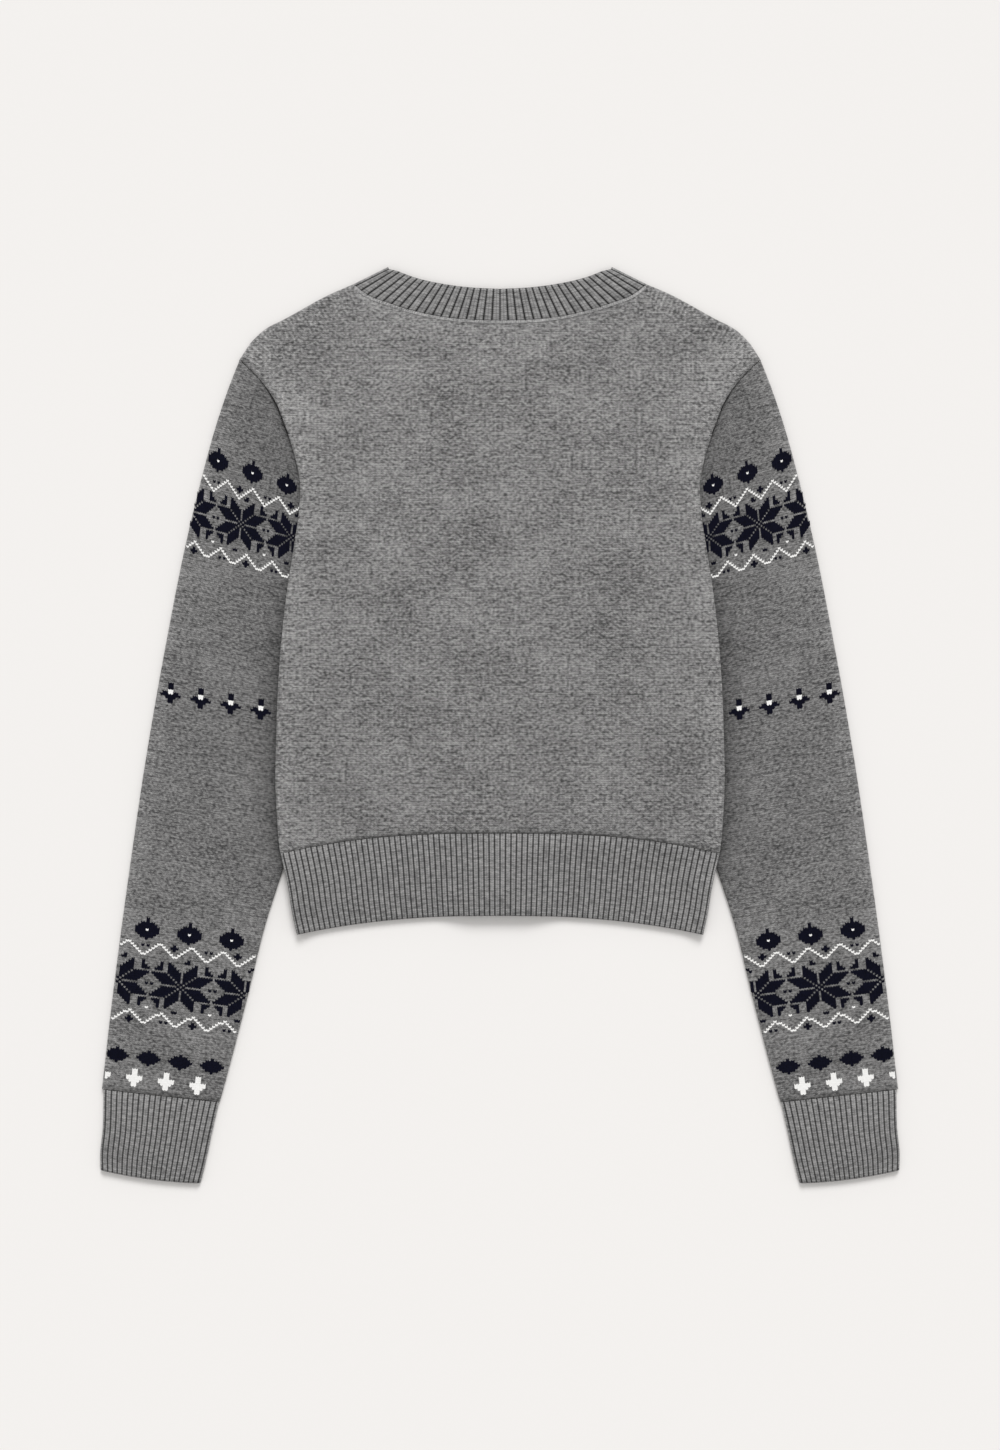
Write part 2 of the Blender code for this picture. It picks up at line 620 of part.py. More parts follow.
def build_band(name, low):
    half = BAND_WIDTH / 2
    plan = np.array([[(x, y) for x in (-half, half)] for y in (0.0, BAND_TOP)])
    sheets = []
    for z in (low, low + BAND_WALL):
        sheets.append(np.concatenate([plan, np.full((2, 2, 1), z)], -1))
    wall(name, *sheets, "rib")


def build_button(name, up):
    """A turned disc with a raised rim on its outer side, which faces down, and four thread holes."""
    radius, sides = BUTTON_ACROSS / 2, 14
    profile = ((0.0, 0.5), (0.62, 0.5), (0.78, 0.0), (0.95, 0.0), (1.0, 0.6), (0.92, BUTTON_THICK))
    angles = np.arange(sides) * 2 * np.pi / sides
    points = [(0, up, profile[0][1])]
    for share, z in profile[1:]:
        points += [(radius * share * np.cos(a), up + radius * share * np.sin(a), z) for a in angles]
    points.append((0, up, BUTTON_THICK))
    rings = len(profile) - 1
    faces = []
    for k in range(sides):
        following = (k + 1) % sides
        faces.append([0, 1 + following, 1 + k])
        for r in range(rings - 1):
            a, b = 1 + r * sides, 1 + (r + 1) * sides
            faces.append([a + k, a + following, b + following, b + k])
        last = 1 + (rings - 1) * sides
        faces.append([last + k, last + following, len(points) - 1])
    disc = place(name, points, faces, "button")
    for column in (-0.5, 0.5):
        for row in (-0.5, 0.5):
            centre = (column * BUTTON_HOLE_PITCH, up + row * BUTTON_HOLE_PITCH)
            hole = [(a, z) for z in (-1.0, BUTTON_THICK + 1.0) for a in np.arange(4) * np.pi / 2]
            ring = [
                (centre[0] + BUTTON_HOLE / 2 * np.cos(a), centre[1] + BUTTON_HOLE / 2 * np.sin(a), z)
                for a, z in hole
            ]
            sides_of_hole = [[k, (k + 1) % 4, 4 + (k + 1) % 4, 4 + k] for k in range(4)]
            ends = [[0, 1, 2, 3], [4, 5, 6, 7]]
            drill = place(f"{name}_drill", ring, sides_of_hole + ends, "button")
            drill.hide_render = True
            drill.display_type = "WIRE"
            cut = disc.modifiers.new("hole", "BOOLEAN")
            cut.object = drill
            cut.operation = "DIFFERENCE"


def settle(to_metres=0.001):
    """Moves the origin to the middle of the base of the whole garment, and turns to metres."""
    meshes = {o.data for o in bpy.context.scene.objects}
    corners = np.concatenate([[v.co[:] for v in m.vertices] for m in meshes
                              if not m.name.endswith("drill")])
    low, high = corners.min(axis=0), corners.max(axis=0)
    middle = np.array([(low[0] + high[0]) / 2, (low[1] + high[1]) / 2, 0.0])
    for mesh in meshes:
        for vertex in mesh.vertices:
            vertex.co = (np.array(vertex.co) - middle) * to_metres


def main():
    for thing in list(bpy.data.objects):
        bpy.data.objects.remove(thing, do_unlink=True)
    build_back()
    build_front("front_left", -1)
    build_front("front_right", 1)
    build_hem_back()
    build_hem_front("hem_rib_front_left", -1)
    build_hem_front("hem_rib_front_right", 1)
    build_sleeve("sleeve_left", -1)
    build_sleeve("sleeve_right", 1)
    build_cuff("cuff_left", -1)
    build_cuff("cuff_right", 1)
    build_neckband()
    build_band("buttonhole_band", OUTER_BAND_Z)
    build_band("button_band", INNER_BAND_Z)
    pitch = (BUTTON_LAST - BUTTON_FIRST) / (BUTTONS - 1)
    for number in range(BUTTONS):
        build_button(f"button_{number + 1}", BUTTON_FIRST + pitch * number)
    settle()


main()
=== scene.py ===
"""Dresses the cropped cardigan, which lies face down on a pale floor, with its knitting.

Shapes are worked out in millimetres on the garment's own plan: out is the distance from the centre
line, up the height above the middle of the back hem, and z the height over the floor. Left and
right are the wearer's, so the left sleeve is at -X. Meshes are written in metres in the frame.
"""

from collections import namedtuple
from functools import partial

import bpy
import numpy as np
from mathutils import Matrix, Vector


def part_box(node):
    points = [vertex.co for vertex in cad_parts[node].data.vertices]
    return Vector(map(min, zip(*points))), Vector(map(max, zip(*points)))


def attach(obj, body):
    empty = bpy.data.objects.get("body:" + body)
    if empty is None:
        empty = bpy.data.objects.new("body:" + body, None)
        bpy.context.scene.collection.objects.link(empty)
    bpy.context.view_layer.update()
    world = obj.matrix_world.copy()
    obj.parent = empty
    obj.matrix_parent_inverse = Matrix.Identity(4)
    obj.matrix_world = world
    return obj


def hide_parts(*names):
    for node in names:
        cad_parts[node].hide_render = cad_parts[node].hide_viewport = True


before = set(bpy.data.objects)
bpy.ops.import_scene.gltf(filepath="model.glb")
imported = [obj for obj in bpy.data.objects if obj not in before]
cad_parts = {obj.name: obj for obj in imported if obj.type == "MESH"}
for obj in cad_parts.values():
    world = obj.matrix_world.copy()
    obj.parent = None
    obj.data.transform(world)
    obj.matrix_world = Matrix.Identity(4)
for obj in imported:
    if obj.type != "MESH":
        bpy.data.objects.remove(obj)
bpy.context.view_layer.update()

bl_info = {
    "name": "Cropped cardigan",
    "version": (1, 0, 0),
    "blender": (4, 5, 0),
    "location": "3D View > Sidebar > Cardigan",
    "description": "Knits the cardigan's panels, ribs, colourwork and buttons",
    "category": "Add Mesh",
}

# Cloth, in millimetres
WALL = 1.6
RIB_WALL = 1.1  # at the foot of a groove
LAYER_GAP = 0.6
SEAM_GAP = 0.3
THICK = 2 * WALL + LAYER_GAP
FOLD_OUT = THICK / 2
FOLD_IN = FOLD_OUT - WALL
LIFT = THICK + SEAM_GAP

# Lengths up the garment
HEM_TOP = 59.3
HEM_TOP_SIDE = 44.9
HEM_SIDE = -13.8
UNDERARM = 259.5
SEAM_SHOWS = 349.5
FIRST_WRAP = 346.0
SHOULDER_TIP = 400.0
SHOULDER_WRAP = 4.0
FRONT_TIP = 396.6
NECK_ACROSS = 0.58

# Bands and buttons
BAND_WIDTH = 28.0
BAND_WALL = 1.9
BAND_TOP = 399.0
BAND_RIBS = 9
BUTTON_ACROSS = 15.0
BUTTON_THICK = 2.2
OUTER_BAND_Z = BUTTON_THICK + SEAM_GAP
INNER_BAND_Z = OUTER_BAND_Z + BAND_WALL + SEAM_GAP
CROWN = INNER_BAND_Z + BAND_WALL + SEAM_GAP + WALL - THICK
CROWN_FLAT = 16.0
CROWN_FOOT = 48.0
FRONT_FOOT = 40.0
RAMP = 36.0
RAMP_START = 6.0
RAMP_EASE = 1.0
LIFT_FULL, LIFT_ENDS = 352.0, 388.0  # the body lies on the sleeves up to the first, then sinks
CROWN_FULL, CROWN_ENDS = 402.0, 436.0  # the rise over the bands, full up to the first, then ends
TIP_BEND = 388.0  # where the front's side starts to bend to its tip
FRONT_PULL = 0.15  # share of the front's neck that bends in to the shoulder's fold
UPRIGHT_FROM, UPRIGHT_EASE = 0.9, 0.4  # stations of the front's columns below the neck

HEM_RIBS = 78
NECK_RIBS = 36
CUFF_RIBS = 20
FRONT_HEM_RIBS = 30
FRONT_NECK_RIBS = 17
FOLD_RIBS = 2  # round each side fold
WRAP_RIBS = 6  # on each part that is folded under
HEM_LENGTH = 59.0
CUFF_LENGTH = 58.0
NECKBAND_LENGTH = 24.0
UNDER_GROOVE = 0.6  # depth of the ribs' grooves on the side that is down
NECK_REACH = 105.0  # how far out the back's neck seam reaches

# Mesh steps
FOLD_STEPS = 10  # round each side fold and the shoulder
BEND_STEPS = 8  # round each fold of a sleeve or cuff
BACK_COLUMNS, BACK_ROWS, BACK_WRAP = 76, 150, 14
FRONT_COLUMNS, FRONT_ROWS = 60, 120
SLEEVE_COLUMNS, SLEEVE_UNDER, SLEEVE_ROWS = 72, 36, 190
RIB_ROWS = 26
RIB_STEPS, UNDER_RIB_STEPS = 9, 5  # to a rib of the upper and the lower side
HEM_WRAP = 36
LINKS = 134  # stitches of the linking chain

# Painted light and painted shade, kept at each point for the yarn's shader as shares of its colour:
# above 0 painted shade, below 0 painted light
# Painted shade low on the back, turning to painted light towards the shoulders
BACK_LOW_SHADE, BACK_SHADE_FALL = 0.075, 0.145  # at the hem, and less by this at the shoulders
SIDE_LIGHT, SIDE_LIGHT_REACH = 0.16, 15
ARMHOLE_SHADE, NECK_SHADE, HEM_SHADE = 0.30, 0.34, 0.24
# Painted shade over the whole sleeve, and painted light along its outer fold
SLEEVE_BASE_SHADE, RIM_LIGHT, RIM_LIGHT_REACH = 0.21, 0.16, 9
# Painted shadow on the sleeve beside the body, deeper further down
SLEEVE_SHADE, SLEEVE_SHADE_MORE, SLEEVE_SHADE_REACH = 0.14, 0.34, 10  # beside the body

Edge = namedtuple("Edge", "up out")
Point = namedtuple("Point", "out up")
Ring = namedtuple("Ring", "share outer inner")
Fold = namedtuple("Fold", "out up angle length width height")
Motifs = namedtuple(
    "Motifs",
    "out up slope turn lean wide grow high upper_low lower_low diamond upper_trough lower_trough",
    defaults=(0,) * 5,
)

ARMHOLE = [
    Edge(UNDERARM, 100.8), Edge(281.0, 116.6), Edge(306.0, 131.0), Edge(331.5, 144.0),
    Edge(SEAM_SHOWS, 153.4), Edge(370.4, 162.0), Edge(385.5, 172.8), Edge(SHOULDER_TIP, 187.2),
]
BODY_FOLD = [
    Edge(HEM_SIDE, 146.0), Edge(0.0, 149.0), Edge(22.0, 152.6), Edge(35.6, 155.5),
    Edge(HEM_TOP_SIDE, 157.7), Edge(72.0, 160.4), Edge(137.0, 160.6), Edge(191.0, 157.7),
    Edge(234.0, 153.0), Edge(263.0, 148.5), Edge(292.0, 144.4), Edge(313.5, 144.0),
    Edge(328.0, 146.9), Edge(SEAM_SHOWS, 153.4),
]
SIDE_SEAM = [
    Edge(HEM_SIDE, 127.0), Edge(HEM_TOP_SIDE, 131.0), Edge(120.0, 125.0), Edge(190.0, 112.0),
    Edge(UNDERARM, 100.8),
]
SLEEVE_OUTER = [
    Edge(-125.0, 286.4), Edge(-60.9, 279.0), Edge(25.5, 267.6), Edge(111.9, 254.9),
    Edge(198.3, 239.8), Edge(270.3, 225.4), Edge(313.5, 215.0), Edge(356.6, 203.0),
    Edge(385.5, 193.0), Edge(SHOULDER_TIP, 187.2),
]
SLEEVE_INNER = [
    Edge(-134.1, 201.6), Edge(-118.5, 197.3), Edge(-60.9, 182.2), Edge(-3.3, 167.8),
    Edge(32.7, 156.2), Edge(79.5, 141.8), Edge(126.3, 128.2), Edge(169.5, 116.6),
    Edge(212.7, 106.6), Edge(UNDERARM, 100.8),
]
SLEEVE_RINGS = [
    Ring(0.0, SHOULDER_TIP, UNDERARM), Ring(0.15, 340.0, 253.0), Ring(0.32, 266.7, 236.0),
    Ring(0.55, 170.0, 148.0), Ring(0.82, 0.0, -12.6), Ring(1.0, -125.0, -134.1),
]
SLEEVE_LENGTH = 560.0  # along its middle, from armhole to cuff
SHOULDER = [
    Point(105.8, 453.9), Point(121.0, 447.4), Point(155.5, 428.7), Point(169.2, 421.5),
    Point(178.6, 412.8), Point(187.2, SHOULDER_TIP),
]
NECK_BACK_SEAM = [
    Point(0.0, 426.5), Point(21.6, 427.2), Point(50.4, 430.8), Point(79.2, 438.8),
    Point(97.9, 446.6), Point(105.8, 453.9),
]
NECK_BACK_EDGE = [
    Point(0.0, 450.6), Point(21.6, 451.7), Point(43.2, 454.6), Point(62.0, 459.0),
    Point(80.6, 466.5),
]
NECK_FRONT_SEAM = [
    Point(105.8, 453.9), Point(100.5, 437.0), Point(88.0, 411.0), Point(66.0, 389.0),
    Point(40.0, 378.0), Point(14.3, 375.0),
]
NECK_FRONT_EDGE = [
    Point(80.6, 466.5), Point(76.5, 449.0), Point(66.0, 428.0), Point(49.0, 410.0),
    Point(31.0, 401.5), Point(14.3, BAND_TOP),
]
CUFF_OUTER = [Edge(-183.0, 287.3), Edge(-172.0, 287.6), Edge(-153.1, 285.8), Edge(-125.3, 285.2)]
CUFF_INNER = [Edge(-192.5, 215.5), Edge(-180.9, 212.5), Edge(-156.0, 207.1), Edge(-134.4, 202.2)]
CUFF_SAG = 2.0
CUFF_DROP = 9.1 / 84  # how steeply the seam of the cuff falls inwards

# Soft folds of the back: angle in degrees from the X axis, height of the ridge
BACK_FOLDS = [
    Fold(128.0, 318.0, 62.0, 60.0, 11.0, 1.1), Fold(118.0, 262.0, 74.0, 75.0, 14.0, 0.9),
    Fold(-126.0, 322.0, 116.0, 55.0, 10.0, 1.2), Fold(-120.0, 258.0, 104.0, 80.0, 15.0, 0.8),
    Fold(92.0, 350.0, 38.0, 70.0, 16.0, 0.7), Fold(-96.0, 346.0, 145.0, 66.0, 15.0, 0.8),
    Fold(70.0, 86.0, 83.0, 46.0, 13.0, 0.8), Fold(-52.0, 82.0, 95.0, 40.0, 12.0, 0.9),
    Fold(118.0, 92.0, 80.0, 50.0, 14.0, 0.9), Fold(-112.0, 90.0, 98.0, 54.0, 13.0, 0.8),
    Fold(20.0, 78.0, 88.0, 34.0, 11.0, 0.6), Fold(-140.0, 120.0, 92.0, 70.0, 9.0, 0.6),
    Fold(36.0, 398.0, 12.0, 60.0, 12.0, 0.5), Fold(-44.0, 396.0, 168.0, 56.0, 13.0, 0.5),
]
SLEEVE_FOLDS = [
    Fold(196.0, 345.0, 70.0, 45.0, 9.0, 1.0), Fold(176.0, 300.0, 52.0, 50.0, 10.0, 0.8),
    Fold(205.0, 225.0, 20.0, 38.0, 12.0, 0.9), Fold(190.0, 140.0, 160.0, 40.0, 11.0, 0.7),
    Fold(218.0, 95.0, 28.0, 42.0, 13.0, 0.9), Fold(226.0, 20.0, 150.0, 36.0, 11.0, 0.7),
    Fold(236.0, -95.0, 80.0, 30.0, 9.0, 0.8), Fold(262.0, -70.0, 78.0, 44.0, 10.0, 0.7),
    Fold(212.0, -98.0, 66.0, 28.0, 8.0, 0.7),
]
SHOULDER_WALE = 3.1  # pitch of the wales that show along the shoulder
SHOULDER_WALES_REACH = 34.0
SLEEVE_TILT = 0.96  # cosine of a sleeve edge's slope on the plan
SLEEVE_SEAM_IN = 5.6  # how far the underarm seam lies in from the sleeve's inner edge

# Colourwork: a star's centre in each band, the slope of the rows in degrees and how it turns with
# each course above, the lean of the wales, the stitch's width and how it grows away from the
# star, its height, the lowest courses of the two zigzags, and the stitches of a diamond's middle
# and of a trough of each zigzag
UPPER_BAND = Motifs(186.3, 281.6, 14.6, 0.2, -0.10, 1.55, 0.0034, 1.60, 11.4, -18.5, 3, -2, -2)
MIDDLE_ROW = Motifs(216.1, 156.4, 10.3, 0.0, -0.05, 1.83, 0.0, 1.60)
LOWER_BAND = Motifs(229.5, -51.4, 7.4, 0.0, -0.115, 1.913, 0.0, 1.58, 12.6, -18.5, 1, -3.5, -0.4)
ZIGZAG_RISE = 5.5
DIAMOND_COURSE = 24
SOLID_COURSE = -34
SOLID_SHIFT = 3
PLUS_COURSE = -44
PLUS_SHIFT = 10.5
STAR_REPEAT = 24
DIAMOND_REPEAT = 16
SMALL_REPEAT = 12

# The frame's origin on the garment's plan
MIDDLE_UP = NECK_BACK_EDGE[-1].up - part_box("neckband")[1][1] * 1000


def smooth(knots, values, at):
    """A cubic through knots whose slope at each comes from its neighbours."""
    knots, values = np.array(knots, float), np.array(values, float)
    at = np.clip(np.asarray(at, float), knots[0], knots[-1])
    slopes = np.gradient(values, knots)
    i = np.clip(np.searchsorted(knots, at, side="right") - 1, 0, len(knots) - 2)
    step = knots[i + 1] - knots[i]
    s = (at - knots[i]) / step
    return (
        values[i] * (1 + 2 * s) * (1 - s) ** 2
        + slopes[i] * step * s * (1 - s) ** 2
        + values[i + 1] * s * s * (3 - 2 * s)
        + slopes[i + 1] * step * s * s * (s - 1)
    )


def out_at(edge, up):
    """An edge's distance from the centre at these heights."""
    return smooth([e.up for e in edge], [e.out for e in edge], up)


def along(line, share):
    """Points at these shares of the length of the smooth line through some points."""
    points = np.array(line, float)
    knots = np.r_[0, np.cumsum(np.linalg.norm(np.diff(points, axis=0), axis=1))]
    fine = np.linspace(0, knots[-1], 2000)
    dense = np.stack([smooth(knots, points[:, 0], fine), smooth(knots, points[:, 1], fine)], -1)
    length = np.r_[0, np.cumsum(np.linalg.norm(np.diff(dense, axis=0), axis=1))]
    share = np.clip(np.asarray(share, float), 0, 1) * length[-1]
    return np.stack([np.interp(share, length, dense[:, k]) for k in (0, 1)], -1)


def beside(line, share, off):
    """The line's points moved off to its left."""
    share = np.clip(np.asarray(share, float), 0, 1)
    run = along(line, share + 0.01) - along(line, share - 0.01)
    left = np.stack([-run[..., 1], run[..., 0]], -1)
    return along(line, share) + off * left / np.linalg.norm(left, axis=-1)[..., None]


def size(name):
    """A size of the add-on's panel, in millimetres."""
    return getattr(bpy.context.scene.cardigan_sizes, name) * 1000


def fade(s):
    """3 s squared minus 2 s cubed, held at 0 and 1."""
    s = np.clip(s, 0, 1)
    return s * s * (3 - 2 * s)


def bell(d, width):
    """exp of minus the square of d over width."""
    return np.exp(-((d / width) ** 2))


def rib_wave(share, count):
    """0 in the grooves and 1 on the crests: the 0.7th power of |sin(pi count share)|."""
    return np.abs(np.sin(np.pi * count * share)) ** 0.7


def body_edge(up):
    return np.where(np.asarray(up) >= SEAM_SHOWS, out_at(ARMHOLE, up), out_at(BODY_FOLD, up))


def under_seam(up):
    return np.where(np.asarray(up) >= UNDERARM, out_at(ARMHOLE, up), out_at(SIDE_SEAM, up))


def hem_top(out):
    return HEM_TOP - (HEM_TOP - HEM_TOP_SIDE) * (np.abs(out) / BODY_FOLD[4].out) ** 2.6


def hem_bottom(out):
    return HEM_SIDE * (np.abs(out) / BODY_FOLD[0].out) ** 2.3


def hem_row(out, row):
    return hem_top(out) * (1 - row) + hem_bottom(out) * row


def row_up(out, side_up):
    follow = np.clip((UNDERARM - side_up) / (UNDERARM - HEM_TOP_SIDE), 0, 1)
    return side_up + (hem_top(out) - HEM_TOP_SIDE) * follow


def sleeve_in(up):
    return np.where(up >= UNDERARM, out_at(ARMHOLE, up), out_at(SLEEVE_INNER, up))


def lift(out, up):
    """Height of the body's underside: LIFT over the sleeve's edge, a smooth step down beside it."""
    on_sleeve = fade((LIFT_ENDS - up) / (LIFT_ENDS - LIFT_FULL))
    inboard = sleeve_in(up) - RAMP_START - np.abs(out)
    return LIFT * on_sleeve * (1 - fade(inboard / RAMP))


def ridges(folds, out, up):
    """The sum of soft ridges: each a bell across its line and a wider bell along it."""
    total = np.zeros(np.broadcast(out, up).shape)
    for f in folds:
        c, s = np.cos(np.radians(f.angle)), np.sin(np.radians(f.angle))
        run = (out - f.out) * c + (up - f.up) * s
        side = (up - f.up) * c - (out - f.out) * s
        total += f.height * bell(side, f.width) * bell(run, f.length * 0.6)
    return total


def back_top(out, up):
    """Height of the back's outer side before its soft folds."""
    across = fade((CROWN_FOOT - np.abs(out)) / (CROWN_FOOT - CROWN_FLAT))
    upward = fade((CROWN_ENDS - up) / (CROWN_ENDS - CROWN_FULL))
    low = lift(out, up)
    ease = RAMP_EASE * 4 * (low / LIFT) * (1 - low / LIFT)
    return low + THICK + ease + CROWN * across * upward


def front_bottom(out, up):
    band = np.where(out > 0, OUTER_BAND_Z, INNER_BAND_Z)
    half = BAND_WIDTH / 2
    return lift(out, up) + band * fade((FRONT_FOOT - np.abs(out)) / (FRONT_FOOT - half))


def neck_pull(share, reach=0.1):
    away = beside(SHOULDER, 0.0, 1.0) - along(SHOULDER, 0.0)
    return away * FOLD_OUT * np.clip((np.asarray(share)[..., None] - 1 + reach) / reach, 0, 1)


def patch(across, station, bottom, top, side):
    """Blends a panel's bottom and top edges, with the bends of its side."""
    u, v = across[..., None], station[..., None]
    straight = (1 - v) * bottom[..., -1:, :] + v * top[..., -1:, :]
    return (1 - v) * bottom + v * top + u ** (1 + 2 * v**12) * (side - straight)


def body_point(across, side_up):
    """Plan of the back: across 0 at the centre to 1 at the edge, side_up the row's height there."""
    across, side_up = np.broadcast_arrays(across, side_up)
    station = (side_up - HEM_TOP_SIDE) / (SHOULDER_TIP - HEM_TOP_SIDE)
    side = np.stack([body_edge(side_up), side_up], -1)
    hem_out = body_edge(HEM_TOP_SIDE) * across
    bottom = np.stack([hem_out, hem_top(hem_out)], -1)
    neck = beside(NECK_BACK_SEAM, across / NECK_ACROSS, -SEAM_GAP)
    neck = neck - neck_pull(across / NECK_ACROSS)
    shoulder = along(SHOULDER, (across - NECK_ACROSS) / (1 - NECK_ACROSS))
    top = np.where((across <= NECK_ACROSS)[..., None], neck, shoulder)
    return patch(across, station, bottom, top, side)


def front_point(across, side_up):
    """Plan of a front: across 0 at its band to 1 at the side seam and armhole. Its columns are even
    low down and upright below the neck, whose steep end would otherwise fold them over."""
    across, side_up = np.broadcast_arrays(across, side_up)
    station = (side_up - HEM_TOP_SIDE) / (SHOULDER_TIP - HEM_TOP_SIDE)
    start_out = BAND_WIDTH / 2 + SEAM_GAP
    seam_out = under_seam(side_up) - SEAM_GAP
    side = np.stack([seam_out, row_up(seam_out, side_up)], -1)
    end = np.array([under_seam(FRONT_TIP) - SEAM_GAP, FRONT_TIP])
    near_tip = fade((side_up - TIP_BEND) / (SHOULDER_TIP - TIP_BEND))[..., None]
    side = side * (1 - near_tip) + end * near_tip
    low_out = under_seam(HEM_TOP_SIDE) - SEAM_GAP
    hem_out = start_out + (low_out - start_out) * across
    bottom = np.stack([hem_out, hem_top(hem_out)], -1)
    neck = beside(NECK_FRONT_SEAM, 1 - across / NECK_ACROSS, SEAM_GAP)
    neck = neck - neck_pull(across / NECK_ACROSS, FRONT_PULL)
    share = (across - NECK_ACROSS) / (1 - NECK_ACROSS)
    shoulder = beside(SHOULDER, share, -SHOULDER_WRAP - SEAM_GAP)
    top = np.where((across <= NECK_ACROSS)[..., None], neck, shoulder)
    top = np.where((across >= 1.0)[..., None], end, top)
    plan = patch(across, station, bottom, top, side)
    upright = 1 - fade((UPRIGHT_FROM - station) / UPRIGHT_EASE)
    corner = NECK_FRONT_SEAM[0].out - neck_pull(1.0)[0]
    wide = side[..., 0] - start_out
    corner_out = (start_out + wide * NECK_ACROSS) * (1 - upright) + corner * upright
    share = np.clip(share, 0, 1)
    bend = top[..., 0] - corner - (end[0] - corner) * share
    bend = bend * fade((station - UPRIGHT_FROM) / (1 - UPRIGHT_FROM))
    below_neck = (start_out + wide * across) * (1 - upright) + top[..., 0] * upright
    below_shoulder = corner_out + (side[..., 0] - corner_out) * share + bend
    plan[..., 0] = np.where(across <= NECK_ACROSS, below_neck, below_shoulder)
    return plan


def mesh_object(name, points, quads, uv, materials, picks=None, uv_quads=None, painted_shading=None):
    """An object from points in plan millimetres, quads of their numbers, a UV for each point, or
    for each corner through uv_quads, and marks that the yarn's shader reads at each point."""
    mesh = bpy.data.meshes.new(name)
    where = (np.asarray(points, float) - (0, MIDDLE_UP, 0)) * 0.001
    quads = np.asarray(quads, np.int32)
    mesh.vertices.add(len(where))
    mesh.vertices.foreach_set("co", where.astype(np.float32).ravel())
    mesh.loops.add(quads.size)
    mesh.loops.foreach_set("vertex_index", quads.ravel())
    mesh.polygons.add(len(quads))
    mesh.polygons.foreach_set("loop_start", np.arange(0, quads.size, 4, dtype=np.int32))
    mesh.update(calc_edges=True)
    layer = mesh.uv_layers.new(name="stitches")
    corners = quads if uv_quads is None else uv_quads
    layer.data.foreach_set("uv", np.asarray(uv, np.float32)[corners.ravel()].ravel())
    for label, values in (painted_shading or {}).items():
        mark = mesh.attributes.new(label, "FLOAT_VECTOR", "POINT")
        mark.data.foreach_set("vector", np.asarray(values, np.float32).ravel())
    for material in materials:
        mesh.materials.append(material)
    if picks is not None:
        mesh.polygons.foreach_set("material_index", np.asarray(picks, np.int32))
    mesh.shade_smooth()
    mesh.validate()
    thing = bpy.data.objects.new(name, mesh)
    bpy.context.scene.collection.objects.link(thing)
    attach(thing, "root")
    return thing


def wall_quads(number, inside, cells, ring):
    """Quads of the outer sheet, the inner sheet and the rims, for a grid of point numbers."""
    a, b = number[:-1, :-1], number[:-1, 1:]
    c, d = number[1:, 1:], number[1:, :-1]
    face = np.stack([a, b, c, d], -1)[cells]
    padded = np.pad(cells, 1)
    if ring:
        padded[:, 0], padded[:, -1] = padded[:, -2], padded[:, 1]
    rims = []
    for start, end, beyond in (
        (a, b, padded[:-2, 1:-1]), (b, c, padded[1:-1, 2:]),
        (c, d, padded[2:, 1:-1]), (d, a, padded[1:-1, :-2]),
    ):
        edge = cells & ~beyond
        s, e = start[edge], end[edge]
        rims.append(np.stack([e, s, s + inside, e + inside], -1))
    return np.concatenate([face, face[:, ::-1] + inside, *rims])


def cloth(name, outer, inner, uv, material, keep=None, ring=False, flip=False, mark=None):
    """A closed wall between two sheets (rows, columns, 3), with a rim at every open edge.

    Cell (i, j) joins points (i, j), (i, j+1), (i+1, j+1), (i+1, j). A rim stands on each edge
    that just one kept cell uses. A ring's uv has one column more, where it closes.
    """
    rows, columns = outer.shape[:2]
    number = np.arange(rows * columns).reshape(rows, columns)
    corner = np.arange(rows * uv.shape[1]).reshape(rows, uv.shape[1])
    if ring:
        number = np.concatenate([number, number[:, :1]], axis=1)
    cells = np.ones((rows - 1, number.shape[1] - 1), bool) if keep is None else keep
    quads = wall_quads(number, rows * columns, cells, ring)
    corners = wall_quads(corner, corner.size, cells, ring)
    if flip:
        quads, corners = quads[:, ::-1], corners[:, ::-1]
    points = np.concatenate([outer.reshape(-1, 3), inner.reshape(-1, 3)])
    both = np.concatenate([uv.reshape(-1, 2)] * 2)
    used = np.unique(quads)
    lookup = np.zeros(len(points), np.int64)
    lookup[used] = np.arange(len(used))
    painted_shading = None
    # Painted light and shade for each point, read by the yarn's shader
    if mark is not None:
        painted_shading = {"mark": np.concatenate([mark.reshape(-1, 3)] * 2)[used]}
    return mesh_object(
        name, points[used], lookup[quads], both, [material], uv_quads=corners, painted_shading=painted_shading
    )


def stitch_uv(plan):
    """UV in stitches: out over the width of a wale, up over the height of a course."""
    return plan / (size("wale"), size("course"))


def semicircle(steps):
    return np.linspace(0, np.pi, steps + 1)[1:]


def fold_rows(side_up, steps, relief=None):
    """Outer and inner points round the side fold of each row: out = edge - R + r sin a and
    z = low + R + r cos a, for the fold's angle a."""
    edge = body_edge(side_up)[:, None]
    low = lift(edge, side_up[:, None])
    angle = semicircle(steps)[None, :]
    sheets = []
    for radius in (FOLD_OUT, FOLD_IN):
        swell = 0 if relief is None or radius == FOLD_IN else relief * np.cos(angle) ** 2
        x = edge - FOLD_OUT + (radius + swell) * np.sin(angle)
        z = low + FOLD_OUT + (radius + swell) * np.cos(angle)
        sheets.append(np.stack([x, side_up[:, None] + 0 * x, z], -1))
    return sheets


def wrap_rows(side_up, steps):
    """Outer and inner points of the part of each row that lies under the body, to its seam."""
    share = np.linspace(0, 1, steps + 1)[None, 1:]
    start = body_edge(side_up)[:, None] - FOLD_OUT
    end = under_seam(side_up)[:, None] + SEAM_GAP / 2
    x = start + (end - start) * share
    y = row_up(x, side_up[:, None])
    low = lift(x, y)
    return [np.stack([x, y, low], -1), np.stack([x, y, low + WALL], -1)]


# ---------------------------------------------------------------- materials

CLOUDS = 0.7  # weight of the heather's broad clouds


